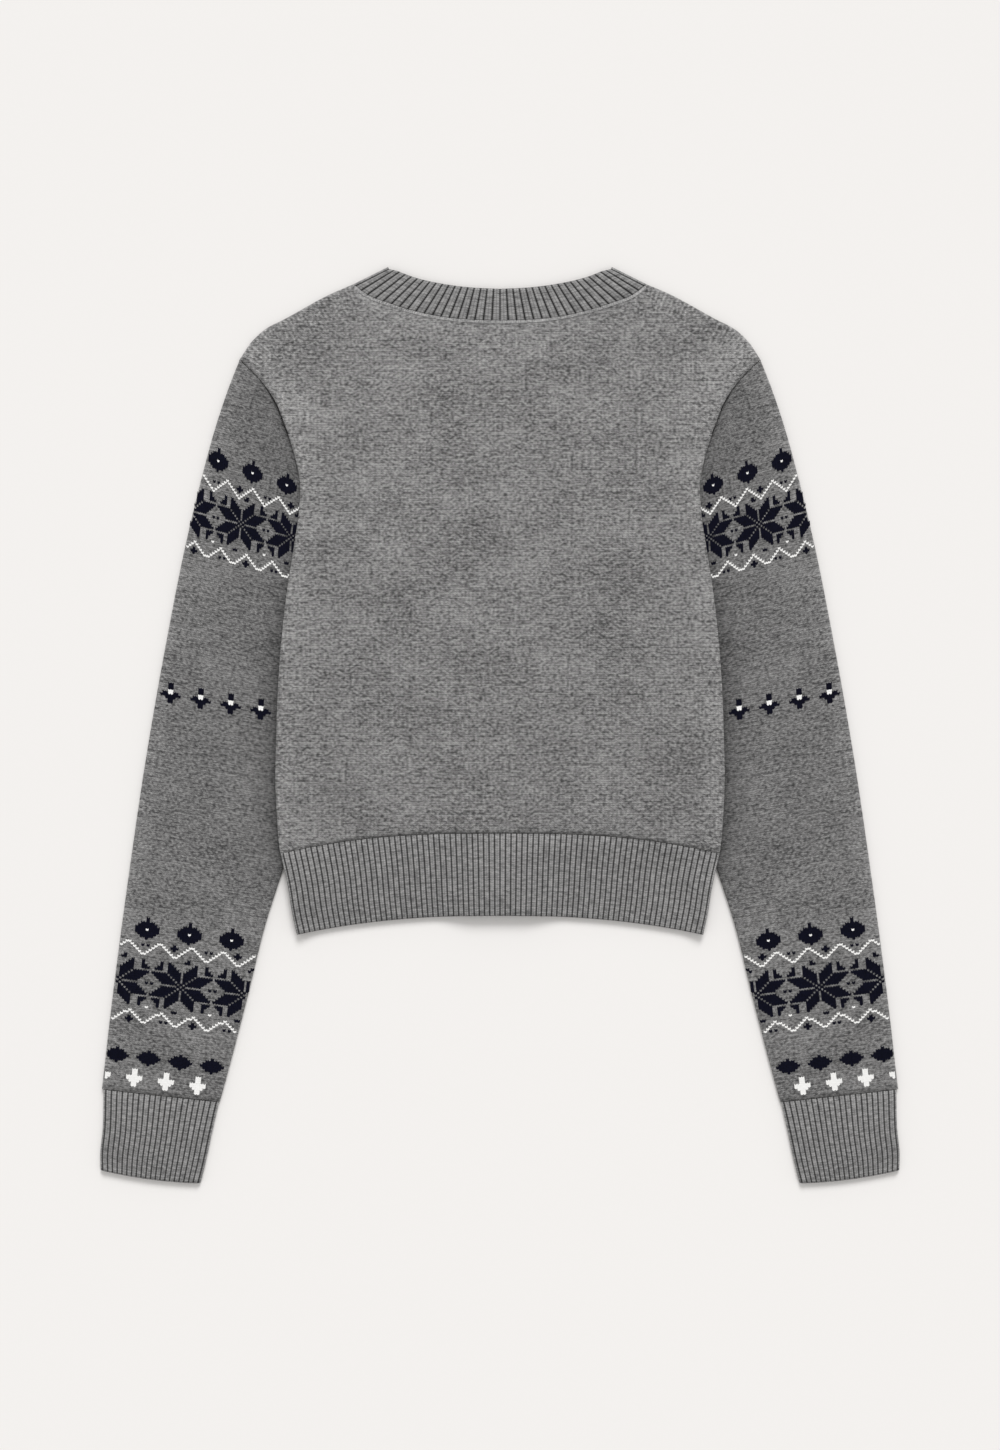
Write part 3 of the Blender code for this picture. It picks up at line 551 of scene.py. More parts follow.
def link(tree, **ends):
    """Makes a node and sets its sockets: a value is set, a socket is linked."""
    kind, settings = ends.pop("kind"), ends.pop("settings", {})
    node = tree.nodes.new(kind)
    for key, value in settings.items():
        setattr(node, key, value)
    for key, value in ends.items():
        socket = node.inputs[int(key[1:])] if key[0] == "n" and key[1:].isdigit() else None
        socket = socket or node.inputs[key.replace("_", " ")]
        if isinstance(value, bpy.types.NodeSocket):
            tree.links.new(value, socket)
        else:
            socket.default_value = value
    return node


def calc(tree, operation, first, second=0.0):
    settings = {"operation": operation}
    return link(tree, kind="ShaderNodeMath", settings=settings, n0=first, n1=second).outputs[0]


def sums(tree):
    """Functions that add, subtract and multiply in a shader's tree."""
    return (partial(calc, tree, name) for name in ("ADD", "SUBTRACT", "MULTIPLY"))


def group(name, inputs, outputs):
    """A shader node group with named sockets; returns its tree and its two ends."""
    tree = bpy.data.node_groups.new(name, "ShaderNodeTree")
    for in_out, sockets in (("INPUT", inputs), ("OUTPUT", outputs)):
        for label, kind in sockets.items():
            tree.interface.new_socket(label, in_out=in_out, socket_type="NodeSocket" + kind)
    return tree, tree.nodes.new("NodeGroupInput"), tree.nodes.new("NodeGroupOutput")


def stitch_face_group():
    """Height of stockinette: two leaning legs to a stitch. With u across and v up in stitches and
    f = |frac(u) - 1/2|, a leg's roundness is 1 - (4 f - 1)^2, the legs part where v - 1.1 f is
    whole, and the groove between two wales is (2 f)^3."""
    tree, start, end = group(
        "Stitch face", {"Stitches": "Vector"}, {"Height": "Float", "Groove": "Float"}
    )
    add, less, times = sums(tree)
    place = link(tree, kind="ShaderNodeSeparateXYZ", Vector=start.outputs[0]).outputs
    f = calc(tree, "ABSOLUTE", less(calc(tree, "FRACT", place[0]), 0.5))
    leg = less(times(f, 4.0), 1.0)
    leg = less(1.0, times(leg, leg))
    rise = add(place[1], times(f, -1.1))
    lobe = calc(tree, "ABSOLUTE", calc(tree, "SINE", times(rise, np.pi)))
    tree.links.new(times(leg, add(0.35, times(lobe, 0.65))), end.inputs[0])
    tree.links.new(calc(tree, "POWER", times(f, 2.0), 3.0), end.inputs[1])
    return tree


def heather_group():
    """Mixed yarn: streaks a few stitches long, short fibres that run along the courses, and broad
    soft clouds. Each noise moves the mix of dark and light by its weight times noise - 1/2."""
    tree, start, end = group(
        "Heather",
        {"Stitches": "Vector", "Dark": "Color", "Light": "Color", "Streaks": "Float",
         "Specks": "Float"},
        {"Color": "Color", "Fibre": "Float"},
    )
    add, less, times = sums(tree)
    noises, parts = [], []
    for stretch, detail, weight in (
        ((0.22, 0.55, 1), 3.0, start.outputs["Streaks"]),
        ((0.75, 0.95, 1), 5.0, start.outputs["Specks"]),
        ((0.035, 0.05, 1), 2.0, CLOUDS),
    ):
        place = link(tree, kind="ShaderNodeMapping", Vector=start.outputs[0], Scale=stretch)
        noise = link(
            tree, kind="ShaderNodeTexNoise", Vector=place.outputs[0], Scale=1.0, Detail=detail,
            Roughness=0.62,
        )
        noises.append(noise.outputs["Fac"])
        parts.append(times(less(noises[-1], 0.5), weight))
    share = add(add(add(parts[0], parts[1]), parts[2]), 0.5)
    share = link(tree, kind="ShaderNodeClamp", Value=share).outputs[0]
    mix = link(
        tree, kind="ShaderNodeMix", settings={"data_type": "RGBA"}, n0=share,
        n6=start.outputs["Dark"], n7=start.outputs["Light"],
    )
    tree.links.new(mix.outputs[2], end.inputs[0])
    tree.links.new(noises[1], end.inputs[1])
    return tree


def material(name, make):
    found = bpy.data.materials.get(name)
    if found:
        return found
    found = bpy.data.materials.new(name)
    found.use_nodes = True
    make(found.node_tree, found.node_tree.nodes["Principled BSDF"])
    return found


def put(tree, make, name, **ends):
    """Puts a node group into a tree, and makes the group the first time."""
    settings = {"node_tree": bpy.data.node_groups.get(name) or make()}
    return link(tree, kind="ShaderNodeGroup", settings=settings, **ends).outputs


def knitted(
    dark, light, depth, sheen=0.2, groove=0.0, level=0.60, swing=0.78, streaks=1.3, specks=3.2
):
    """Knitted yarn: heather colour, darker between the stitches and down the ribs' grooves, with
    stitch relief and fibre fuzz. The mark's x is a wale's count beside a shaped edge, its y how
    strongly that wale shows and its z how deep in shade the point lies. The shade is
    (level + swing face + y (1/2 - sin^2(pi x)) - groove) (1 - z)."""

    def make(tree, shader):
        add, less, times = sums(tree)
        uv = link(tree, kind="ShaderNodeUVMap", settings={"uv_map": "stitches"}).outputs[0]
        heather = put(
            tree, heather_group, "Heather", Stitches=uv, Dark=(*dark, 1), Light=(*light, 1),
            Streaks=streaks, Specks=specks,
        )
        face = put(tree, stitch_face_group, "Stitch face", Stitches=uv)
        height = add(face[0], times(heather[1], 0.5))
        bump = link(
            tree, kind="ShaderNodeBump", Strength=1.0, Distance=depth * 0.001, Height=height
        )
        mark = link(tree, kind="ShaderNodeAttribute", settings={"attribute_name": "mark"})
        mark = link(tree, kind="ShaderNodeSeparateXYZ", Vector=mark.outputs["Vector"]).outputs
        # Painted light and shade: stripes along the wales, painted shade between the stitches
        # (swing) and in the ribs' grooves (groove), and each point's stored painted shade or light
        wale = calc(tree, "SINE", times(mark[0], np.pi))
        wale = times(less(0.5, times(wale, wale)), mark[1])
        shade = add(add(level, times(face[0], swing)), wale)
        shade = times(less(shade, times(face[1], groove)), less(1.0, mark[2]))
        shaded = link(
            tree, kind="ShaderNodeVectorMath", settings={"operation": "SCALE"}, Scale=shade,
            n0=heather[0],
        )
        tree.links.new(shaded.outputs[0], shader.inputs["Base Color"])
        tree.links.new(bump.outputs[0], shader.inputs["Normal"])
        shader.inputs["Roughness"].default_value = 0.92
        shader.inputs["Specular IOR Level"].default_value = 0.12
        shader.inputs["Sheen Weight"].default_value = sheen
        shader.inputs["Sheen Roughness"].default_value = 0.6

    return make


# Each yarn: its dark colour and a factor on it, its light colour, and how it is knitted, with its
# painted shade between the stitches (swing) and in the ribs' grooves (groove)
YARNS = {
    "grey_knit": ("heather_dark", 1.0, "heather_light", {"depth": 0.7}),
    # The ribs take painted shade down their grooves
    "grey_rib": (
        "rib_dark", 1.0, "rib_light",
        {"depth": 0.35, "groove": 1.0, "level": 0.68, "swing": 0.56, "streaks": 0.7, "specks": 3.0},
    ),
    # The linking chain is the ribs' yarn with painted light: its level makes it lighter all over
    "linking_yarn": ("rib_dark", 1.0, "rib_light", {"depth": 0.1, "level": 1.15, "swing": 0.6}),
    "navy_yarn": ("navy", 0.5, "navy", {"depth": 0.1, "sheen": 0.0, "level": 0.8, "swing": 0.5}),
    "white_yarn": (
        "off_white", 0.93, "off_white", {"depth": 0.1, "sheen": 0.1, "level": 0.92, "swing": 0.16}
    ),
}


def yarn(name):
    dark, factor, light, look = YARNS[name]
    colours = bpy.context.scene.cardigan_colours
    dark = [factor * k for k in getattr(colours, dark)]
    return material(name, knitted(dark, getattr(colours, light), **look))


# ---------------------------------------------------------------- pieces


def seam_dip(distance, reach=2.2, share=1.0):
    """How far a wall's outer side sinks beside a seam."""
    return share * size("seam_depth") * bell(np.maximum(distance, 0), reach)


def shoulder_wales(out, up):
    """Count of the wales that run square to the shoulder, and how strongly they show: the nearest
    point of the shoulder line gives both, by its length along the line and its distance."""
    line = along(SHOULDER, np.linspace(0, 1, 300))
    length = np.r_[0, np.cumsum(np.linalg.norm(np.diff(line, axis=0), axis=1))]
    gap = np.hypot(out[..., None] - line[:, 0], up[..., None] - line[:, 1])
    near = gap.argmin(axis=-1)
    reach = gap.min(axis=-1)
    return length[near] / SHOULDER_WALE, 0.42 * fade(1 - reach / SHOULDER_WALES_REACH)


def shoulder_fold(line, away, radius, foot):
    """Rows of a sheet round the shoulder's fold, and on to its edge on the front."""
    rows = []
    for angle in np.r_[0, semicircle(FOLD_STEPS)]:
        p = line - away * (FOLD_OUT - radius * np.sin(angle))
        rows.append(np.column_stack([p, np.full(len(p), FOLD_OUT + radius * np.cos(angle))]))
    p = line - away * SHOULDER_WRAP
    return np.array([*rows, np.column_stack([p, np.full(len(p), foot)])])


def back_marks(out, up, from_side, to_neck, upper):
    """The yarn's marks on the back: wales beside the shoulder, and shade that is lighter low down
    and at the sides, and darker beside each seam."""
    count, shown = shoulder_wales(out, up)
    shaded = BACK_LOW_SHADE - BACK_SHADE_FALL * up / SHOULDER_TIP
    shaded = shaded - SIDE_LIGHT * bell(from_side, SIDE_LIGHT_REACH)
    shaded = shaded + np.where(upper, ARMHOLE_SHADE * bell(from_side, 1.6), 0)
    shaded = shaded + np.where(out < NECK_REACH + 1, NECK_SHADE * bell(to_neck, 2.0), 0)
    shaded = shaded + HEM_SHADE * bell(up - hem_top(out), 2.0)
    return np.stack([count, shown, shaded], -1)


def make_back():
    across = np.unique(np.r_[np.linspace(0, 1, BACK_COLUMNS), NECK_ACROSS])
    side_up = np.linspace(HEM_TOP_SIDE, SHOULDER_TIP, BACK_ROWS)
    side_up = np.unique(np.r_[side_up, FIRST_WRAP])
    first = int(np.searchsorted(across, NECK_ACROSS))
    upper = side_up[:, None] > FIRST_WRAP
    plan = body_point(across[None, :], side_up[:, None])
    edge = body_edge(side_up)
    pull = np.where(upper[:, 0], SEAM_GAP / 2, FOLD_OUT)
    plan[..., 0] *= (1 - pull / edge)[:, None] ** across[None, :] ** 2
    plan[:, -1, 0] = edge - pull
    plan[0, :, 1] += SEAM_GAP / 2
    out, up = plan[..., 0], plan[..., 1]
    from_side, over_hem = edge[:, None] - out, up - hem_top(out)
    to_neck = np.interp(out, *along(NECK_BACK_SEAM, np.linspace(0, 1, 200)).T) - up
    dip = seam_dip(over_hem) + np.where(upper, seam_dip(from_side), 0)
    dip = dip + np.where(out < NECK_REACH - 1, seam_dip(to_neck), 0)
    room = fade(from_side / 16) * fade(over_hem / 10)
    room = room * np.where(out < 110, fade((NECK_BACK_SEAM[0].up + 40 - up) / 30), 1)
    share = (across[first:] - NECK_ACROSS) / (1 - NECK_ACROSS)
    line = along(SHOULDER, share)
    away = beside(SHOULDER, share, 1.0) - line
    shoulder = slice(first, len(across))
    high = back_top(out, up)
    halves = []
    for hand in (-1, 1):
        soft = ridges(BACK_FOLDS, out * hand, up) * room
        sheets = []
        for z, fold, wrap, radius, foot in zip(
            (high + soft - dip, high - WALL + soft * 0.6), fold_rows(side_up, FOLD_STEPS),
            wrap_rows(side_up, BACK_WRAP), (FOLD_OUT, FOLD_IN), (0.0, WALL),
        ):
            sheet = np.concatenate([np.stack([out, up, z], -1), fold, wrap], axis=1)
            rows = shoulder_fold(line, away, radius, foot)
            sheet[-1, shoulder] = rows[0]
            more = np.repeat(sheet[-1:], len(rows) - 1, axis=0)
            more[:, shoulder] = rows[1:]
            sheets.append(np.concatenate([sheet, more]) * (hand, 1, 1))
        halves.append(sheets)
    outer, inner = (np.concatenate([a[:, :0:-1], b], axis=1) for a, b in zip(*halves))
    half = np.ones((outer.shape[0] - 1, outer.shape[1] // 2), bool)
    half[int(np.searchsorted(side_up, FIRST_WRAP)) :, len(across) - 1 :] = False
    half[len(side_up) - 1 :, :first] = False
    keep = np.concatenate([half[:, ::-1], half], axis=1)
    # Painted light and shade at each point of the back
    painted_shading = np.zeros((*outer.shape[:2], 3))
    middle, rows = outer.shape[1] // 2, len(side_up)
    for hand in (-1, 1):
        place = middle + hand * np.arange(len(across))
        painted_shading[:rows, place] = back_marks(out, up, from_side, to_neck, upper)
        painted_shading[rows:, place] = painted_shading[rows - 1 : rows, place]
    uv = stitch_uv(outer[..., :2])
    back = cloth("back_panel", outer, inner, uv, yarn("grey_knit"), keep, mark=painted_shading)
    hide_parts("back")
    return back


def make_front(name, hand):
    across = np.unique(np.r_[np.linspace(0, 1, FRONT_COLUMNS), NECK_ACROSS])
    side_up = np.linspace(HEM_TOP_SIDE, SHOULDER_TIP, FRONT_ROWS)
    plan = front_point(across[None, :], side_up[:, None])
    plan[0, :, 1] += SEAM_GAP / 2
    out, up = plan[..., 0] * hand, plan[..., 1]
    low = front_bottom(out, up)
    outer = np.stack([out, up, low + seam_dip(up - hem_top(out), share=0.7)], -1)
    inner = np.stack([out, up, low + WALL], -1)
    uv = stitch_uv(outer[..., :2])
    front = cloth(f"{name}_panel", outer, inner, uv, yarn("grey_knit"), flip=hand > 0)
    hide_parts(name)
    return front


def sleeve_height(out, up):
    """Height of the sleeve's top: flat, round at its two folds, with soft folds and the seam."""
    rim = np.minimum(out_at(SLEEVE_OUTER, up) - out, out - sleeve_in(up)) * SLEEVE_TILT
    rim = np.clip(rim, 0, None)
    near = np.clip(FOLD_OUT - rim, 0, FOLD_OUT)
    base = FOLD_OUT + np.sqrt(np.maximum(FOLD_OUT**2 - near**2, 0))
    room = fade((rim - FOLD_OUT) / 10) * fade((out - body_edge(up) - 3) / 8)
    groove = 0.45 * bell(rim - SLEEVE_SEAM_IN, 0.9) * (out < 0.5 * (sleeve_in(up) + 240))
    groove = groove * fade((60.0 - up) / 20)
    return base + ridges(SLEEVE_FOLDS, out, up) * room - groove


def sleeve_plan(share, across):
    """Plan of a sleeve: share 0 at the armhole to 1 at the cuff, across 0 at the outer edge to 1 at
    the inner edge. Each ring is straight, and the first ones take the armhole's bend."""
    shares = [r.share for r in SLEEVE_RINGS]
    outer_up = smooth(shares, [r.outer for r in SLEEVE_RINGS], share)
    inner_up = smooth(shares, [r.inner for r in SLEEVE_RINGS], share)
    start = np.stack([out_at(SLEEVE_OUTER, outer_up), outer_up], -1)
    end = np.stack([out_at(SLEEVE_INNER, inner_up), inner_up], -1)
    line = start * (1 - across[..., None]) + end * across[..., None]
    armhole = along([Point(e.out, e.up) for e in ARMHOLE[::-1]], across)
    first, last = along([Point(e.out, e.up) for e in ARMHOLE[::-1]], np.array([0.0, 1.0]))
    straight = first * (1 - across[..., None]) + last * across[..., None]
    return line + (armhole - straight) * (1 - fade(share / 0.3))[..., None]


def laid_loop(plan_of, top_steps, under_steps, lengths, height, under):
    """Outer and inner loops of a tube laid flat, and their stations: 0 to 1 over the top, 1 to 2
    round the inner fold, 2 to 3 back underneath and 3 to 4 round the outer fold.

    lengths is the width of each ring; plan_of(share across) gives its points.
    """
    cut = (FOLD_OUT / lengths)[:, None]
    angle = semicircle(BEND_STEPS)[:-1]
    station = [np.linspace(0, 1, steps)[None, :] for steps in (top_steps, under_steps)]
    top = plan_of(cut + station[0] * (1 - 2 * cut))
    below = plan_of(1 - cut - station[1] * (1 - 2 * cut))

    def at(plan, z):
        return np.concatenate([plan, np.broadcast_to(z, plan.shape[:2])[..., None]], -1)

    def bend(radius, around, edge, side):
        reach = cut * (radius / FOLD_OUT) * np.sin(around)[None, :]
        return at(plan_of(edge + side * (reach - cut)), FOLD_OUT + radius * np.cos(around))

    loops = []
    for over, beneath, radius in (
        (height(top, station[0]), under(below, station[1]), FOLD_OUT),
        (THICK - WALL, WALL, FOLD_IN),
    ):
        parts = [at(top, over), bend(radius, angle, 1, 1), at(below, beneath)]
        loops.append(np.concatenate([*parts, bend(radius, angle[::-1], 0, -1)], axis=1))
    turn = np.arange(1, BEND_STEPS) / BEND_STEPS
    return *loops, np.r_[station[0][0], 1 + turn, 2 + station[1][0], 3 + turn, 4.0]


def ring_lengths(plan_of, rings):
    ends = plan_of(np.tile([0.0, 1.0], (rings, 1)))
    return np.linalg.norm(ends[:, 1] - ends[:, 0], axis=1)


def course_uv(loop):
    """UV of a laid sleeve: across by the distance from its outer edge, up by the courses, which
    slope as the colourwork's rows do."""
    closed = np.concatenate([loop, loop[:, :1]], axis=1)
    out, up = closed[..., 0], closed[..., 1]
    across = np.hypot(out - out[:, :1], up - up[:, :1])
    rows = sorted((m.up, m.slope) for m in (LOWER_BAND, MIDDLE_ROW, UPPER_BAND))
    slope = np.interp(up, *zip(*rows))
    course = (up - (out - LOWER_BAND.out) * np.tan(np.radians(slope))) / size("course")
    return np.stack([across / size("wale"), course], -1)


def make_sleeve(name, hand):
    share = np.linspace(0, 1, SLEEVE_ROWS) ** 1.15

    def plan_of(across):
        plan = sleeve_plan(np.broadcast_to(share[:, None], across.shape), across)
        plan[0] += (SEAM_GAP / 2, SEAM_GAP / 4)
        plan[-1, :, 1] += SEAM_GAP / 2
        return plan

    def height(plan, station):
        end = seam_dip((1 - share[:, None]) * SLEEVE_LENGTH) + seam_dip(share[:, None] * 200)
        return np.maximum(sleeve_height(plan[..., 0], plan[..., 1]), FOLD_OUT) - end

    def under(plan, station):
        return 0.0

    lengths = ring_lengths(plan_of, len(share))
    outer, inner, _ = laid_loop(
        plan_of, SLEEVE_COLUMNS, SLEEVE_UNDER, lengths, height, under
    )
    out, up = outer[..., 0], outer[..., 1]
    # Painted shade: the sleeve darker all over, a painted shadow beside the body and painted light
    # along the outer fold
    beside_body = np.clip(out - body_edge(up), 0, None)
    deep = SLEEVE_SHADE + SLEEVE_SHADE_MORE * fade((330 - up) / 200)
    shadow = deep * np.exp(-beside_body / SLEEVE_SHADE_REACH) * fade((up - HEM_SIDE + 30) / 40)
    rim = out_at(SLEEVE_OUTER, up) - out
    shadow = SLEEVE_BASE_SHADE + shadow - RIM_LIGHT * bell(rim, RIM_LIGHT_REACH)
    mark = np.stack([0 * out, 0 * out, shadow], -1)
    turn = np.array([hand, 1, 1])
    sleeve = cloth(
        f"{name}_knit", outer * turn, inner * turn, course_uv(outer), yarn("grey_knit"),
        ring=True, flip=hand < 0, mark=mark,
    )
    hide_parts(name)
    return sleeve


def rib_uv(ribs, row, length):
    """UV of a rib: its count across, and its courses down its length."""
    course = -row[:, None] * length / size("course")
    return np.stack(np.broadcast_arrays(ribs[None, :], course), -1)


def make_cuff(name, hand):
    row = np.linspace(0, 1, RIB_ROWS)
    ends = []
    for edge in (CUFF_OUTER, CUFF_INNER):
        up = edge[-1].up + (edge[0].up - edge[-1].up) * row
        ends.append(np.stack([out_at(edge, up), up], -1)[:, None])

    def plan_of(across):
        line = ends[0] * (1 - across[..., None]) + ends[1] * across[..., None]
        line[..., 1] -= CUFF_SAG * row[:, None] * 4 * across * (1 - across)
        return line

    def rib(station):
        return rib_wave(station, CUFF_RIBS) * fade(row * 12)[:, None]

    def to_side(station):
        return fade(np.minimum(station, 1 - station) * CUFF_RIBS)

    def height(plan, station):
        low = THICK - WALL + RIB_WALL + (1 - to_side(station)) * (WALL - RIB_WALL)
        return low + size("rib_relief") * rib(station) - seam_dip(row * 60)[:, None]

    def under(plan, station):
        return 0.7 * (1 - rib(station)) * to_side(station)

    outer, inner, stations = laid_loop(
        plan_of, CUFF_RIBS * RIB_STEPS + 1, CUFF_RIBS * UNDER_RIB_STEPS + 1,
        ring_lengths(plan_of, len(row)), height, under,
    )
    ribs = np.interp(stations, range(5), np.array([0, 1, 1, 2, 2]) * CUFF_RIBS + [0, 0, 1, 1, 2])
    turn = np.array([hand, 1, 1])
    cuff = cloth(
        f"{name}_rib", outer * turn, inner * turn, rib_uv(ribs, row, CUFF_LENGTH),
        yarn("grey_rib"), ring=True, flip=hand < 0,
    )
    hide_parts(name)
    return cuff


def make_hem_back():
    row = np.linspace(0, 1, RIB_ROWS)[:, None]
    share = np.linspace(0, 1, HEM_RIBS * RIB_STEPS + 1)[None, :]
    side_up = (HEM_TOP_SIDE + (HEM_SIDE - HEM_TOP_SIDE) * row)[:, 0]
    x = (2 * share - 1) * (body_edge(side_up)[:, None] - FOLD_OUT)
    y = hem_row(x, row) - SEAM_GAP / 2 * (1 - row)
    z = back_top(x, y) - WALL
    grown = fade(row * 12)
    to_side = fade((1 - np.abs(2 * share - 1)) * HEM_RIBS / 2)
    high = z + RIB_WALL + (1 - to_side) * (WALL - RIB_WALL) - seam_dip(row * HEM_LENGTH)
    high = high + size("rib_relief") * rib_wave(share, HEM_RIBS) * grown
    fold_ribs = FOLD_RIBS * np.arange(1, FOLD_STEPS + 1) / FOLD_STEPS
    wrap_ribs = FOLD_RIBS + WRAP_RIBS * np.arange(1, HEM_WRAP + 1) / HEM_WRAP
    swell = size("rib_relief") * rib_wave(fold_ribs, 1)[None, :] * grown
    sheets = []
    for top, fold, wrap, carve in zip(
        (high, z), fold_rows(side_up, FOLD_STEPS, swell), wrap_rows(side_up, HEM_WRAP),
        (UNDER_GROOVE, 0),
    ):
        side = np.concatenate([fold, wrap], axis=1)
        side[..., 1] = hem_row(side[..., 0], row) - SEAM_GAP / 2 * (1 - row)
        side[:, FOLD_STEPS:, 2] += carve * (1 - rib_wave(wrap_ribs, 1))
        top = np.stack([x, y, top], -1)
        sheets.append(np.concatenate([side[:, ::-1] * (-1, 1, 1), top, side], axis=1))
    beyond = np.r_[fold_ribs, wrap_ribs]
    ribs = np.r_[-beyond[::-1], share[0] * HEM_RIBS, HEM_RIBS + beyond]
    uv = rib_uv(ribs, row[:, 0], HEM_LENGTH)
    hem = cloth("hem_back_rib", *sheets, uv, yarn("grey_rib"), flip=True)
    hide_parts("hem_rib_back")
    return hem


def make_hem_front(name, hand):
    row = np.linspace(0, 1, 20)[:, None]
    share = np.linspace(0, 1, FRONT_HEM_RIBS * 8 + 1)[None, :]
    side_up = HEM_TOP_SIDE + (HEM_SIDE - HEM_TOP_SIDE) * row
    start = BAND_WIDTH / 2 + SEAM_GAP
    x = start + (under_seam(side_up) - SEAM_GAP / 2 - start) * share
    y = hem_row(x, row) - SEAM_GAP / 2 * (1 - row)
    low = front_bottom(x * hand, y)
    carve = 0.7 * (1 - rib_wave(share, FRONT_HEM_RIBS) * fade(row * 12))
    outer = np.stack([x * hand, y, low + carve], -1)
    inner = np.stack([x * hand, y, low + WALL], -1)
    uv = rib_uv(share[0] * FRONT_HEM_RIBS, row[:, 0], HEM_LENGTH)
    hem = cloth(f"{name}_knit", outer, inner, uv, yarn("grey_rib"), flip=hand < 0)
    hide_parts(name)
    return hem


def make_neckband():
    row = np.linspace(0, 1, 16)[:, None]
    share = np.linspace(0, 1, NECK_RIBS * RIB_STEPS + 1)
    front = np.linspace(0, 1, 140)
    run = np.array(NECK_BACK_EDGE[-1]) - np.array(NECK_BACK_SEAM[-1])
    run = run / np.linalg.norm(run)
    away = np.array([run[1], -run[0]])
    r = row[..., None]

    def between(seam, edge, at):
        """Rows from the seam, a gap clear of it, to the free edge."""
        clear = SEAM_GAP * run * (1 - r)
        return along(seam, at)[None] * (1 - r) + along(edge, at)[None] * r + clear

    across = np.abs(2 * share - 1)
    plan = between(NECK_BACK_SEAM, NECK_BACK_EDGE, across) - neck_pull(across)[None]
    x, y = plan[..., 0] * np.sign(2 * share - 1), plan[..., 1]
    z = back_top(x, y) - WALL
    rib = rib_wave(share, NECK_RIBS)[None, :] * fade(row * 8) * fade((1 - row) * 14 + 0.35)
    high = z + RIB_WALL + size("rib_relief") * rib - seam_dip(row * NECKBAND_LENGTH)
    corner = between(NECK_BACK_SEAM, NECK_BACK_EDGE, np.array([1.0]))
    angle = semicircle(FOLD_STEPS)[:-1]
    under = between(NECK_FRONT_SEAM, NECK_FRONT_EDGE, front)
    under = under - neck_pull(1 - front, FRONT_PULL)[None]
    under[..., 0] = np.maximum(under[..., 0], BAND_WIDTH / 2 + SEAM_GAP)
    carve = UNDER_GROOVE * (1 - rib_wave(front, FRONT_NECK_RIBS))[None, :] * fade(front * 20)
    sheets = []
    for top, radius, wall in ((high, FOLD_OUT, carve), (z, FOLD_IN, WALL)):
        p = corner - away * (FOLD_OUT - radius * np.sin(angle))[None, :, None]
        height = np.broadcast_to(FOLD_OUT + radius * np.cos(angle), p.shape[:2])
        turn = np.concatenate([p, height[..., None]], -1)
        fronts = {}
        for hand in (-1, 1):
            out, up = under[..., 0] * hand, under[..., 1]
            fronts[hand] = np.stack([out, up, front_bottom(out, up) + wall], -1)
        back = np.stack([x, y, top], -1)
        left = [fronts[-1][:, ::-1], (turn * (-1, 1, 1))[:, ::-1]]
        sheets.append(np.concatenate([*left, back, turn, fronts[1]], axis=1))
    side_ribs = FOLD_RIBS * np.arange(1, FOLD_STEPS) / FOLD_STEPS
    side_ribs = np.r_[side_ribs, FOLD_RIBS + front * FRONT_NECK_RIBS]
    ribs = np.r_[-side_ribs[::-1], share * NECK_RIBS, NECK_RIBS + side_ribs]
    uv = rib_uv(ribs, row[:, 0], NECKBAND_LENGTH)
    band = cloth("neckband_rib", *sheets, uv, yarn("grey_rib"))
    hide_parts("neckband")
    return band


def make_band(name, low):
    """A front band, ribbed along its length, with grooves in its outer side, which is below."""
    up = np.linspace(0, BAND_TOP, 60)
    share, y = np.meshgrid(np.linspace(0, 1, BAND_RIBS * 8 + 1), up)
    x = (share - 0.5) * BAND_WIDTH
    outer = np.stack([x, y, low + UNDER_GROOVE * (1 - rib_wave(share, BAND_RIBS))], -1)
    inner = np.stack([x, y, low + BAND_WALL + 0 * x], -1)
    uv = rib_uv(share[0] * BAND_RIBS, up, -1.0)
    band = cloth(f"{name}_rib", outer, inner, uv, yarn("grey_rib"), flip=True)
    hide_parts(name)
    return band


# ---------------------------------------------------------------- colourwork


def nearest(a, repeat, shift=0.0):
    """Stitches from a to the nearest middle of a motif that repeats."""
    return (a - shift + repeat / 2) % repeat - repeat / 2


def star_chart(a, b):
    """The star band, a stitches from a star's centre and b courses above it. A petal is where 1 to
    5 stitches from an axis the long way runs 1 to 5 stitches past the diagonal, or 6 across."""
    x, y = np.abs(nearest(a, STAR_REPEAT)), np.abs(b)
    navy = (x >= 1) & (x <= 5) & (y - x >= 1) & (y - x <= 5)
    navy |= (y >= 1) & (y <= 5) & (x - y >= 1) & (x - y <= 6)
    navy |= (x == 0) & (y == 1) | (x == 1) & (y == 0)
    place = a % STAR_REPEAT
    navy |= (place == 9) & (y >= 7) & (y <= 10) | (y == 7) & (place >= 9) & (place <= 11)
    navy |= (place == 10) & (y == 8) | (y == 7) & (place >= 14) & (place <= 16)
    navy |= (place == 16) & (y >= 7) & (y <= 10) | (place == 15) & (y == 8)
    navy |= (b == 0) & ((place == 11) | (place == 13))
    navy |= (b == 11) & ((place == 1) | (place == 2)) | (b == 12) & (place == 2)
    return navy | (b == -12) & ((place == 22) | (place == 23))


def zigzag(a, low, trough):
    """Course of a zigzag line at stitch a: low at its troughs, every 12 stitches, and 5.5 higher
    halfway between them."""
    swing = 1 - np.abs((a - trough) % SMALL_REPEAT - SMALL_REPEAT / 2) / (SMALL_REPEAT / 2)
    return np.rint(low + ZIGZAG_RISE * swing).astype(int)


def crosslet(a, b, shift, course):
    """A cross of five stitches on every second repeat, and a pair of stitches between."""
    x, y = np.abs(nearest(a, STAR_REPEAT, round(shift))), np.abs(b - course)
    pair = nearest(a, STAR_REPEAT, round(shift) + SMALL_REPEAT)
    return (x + y <= 1) | (y == 0) & ((pair == 0) | (pair == 2))


def stepped(x, y, widths):
    """A motif of these half widths at each course away from its middle."""
    return x <= np.array([*widths, -1])[np.minimum(y, len(widths)).astype(int)]


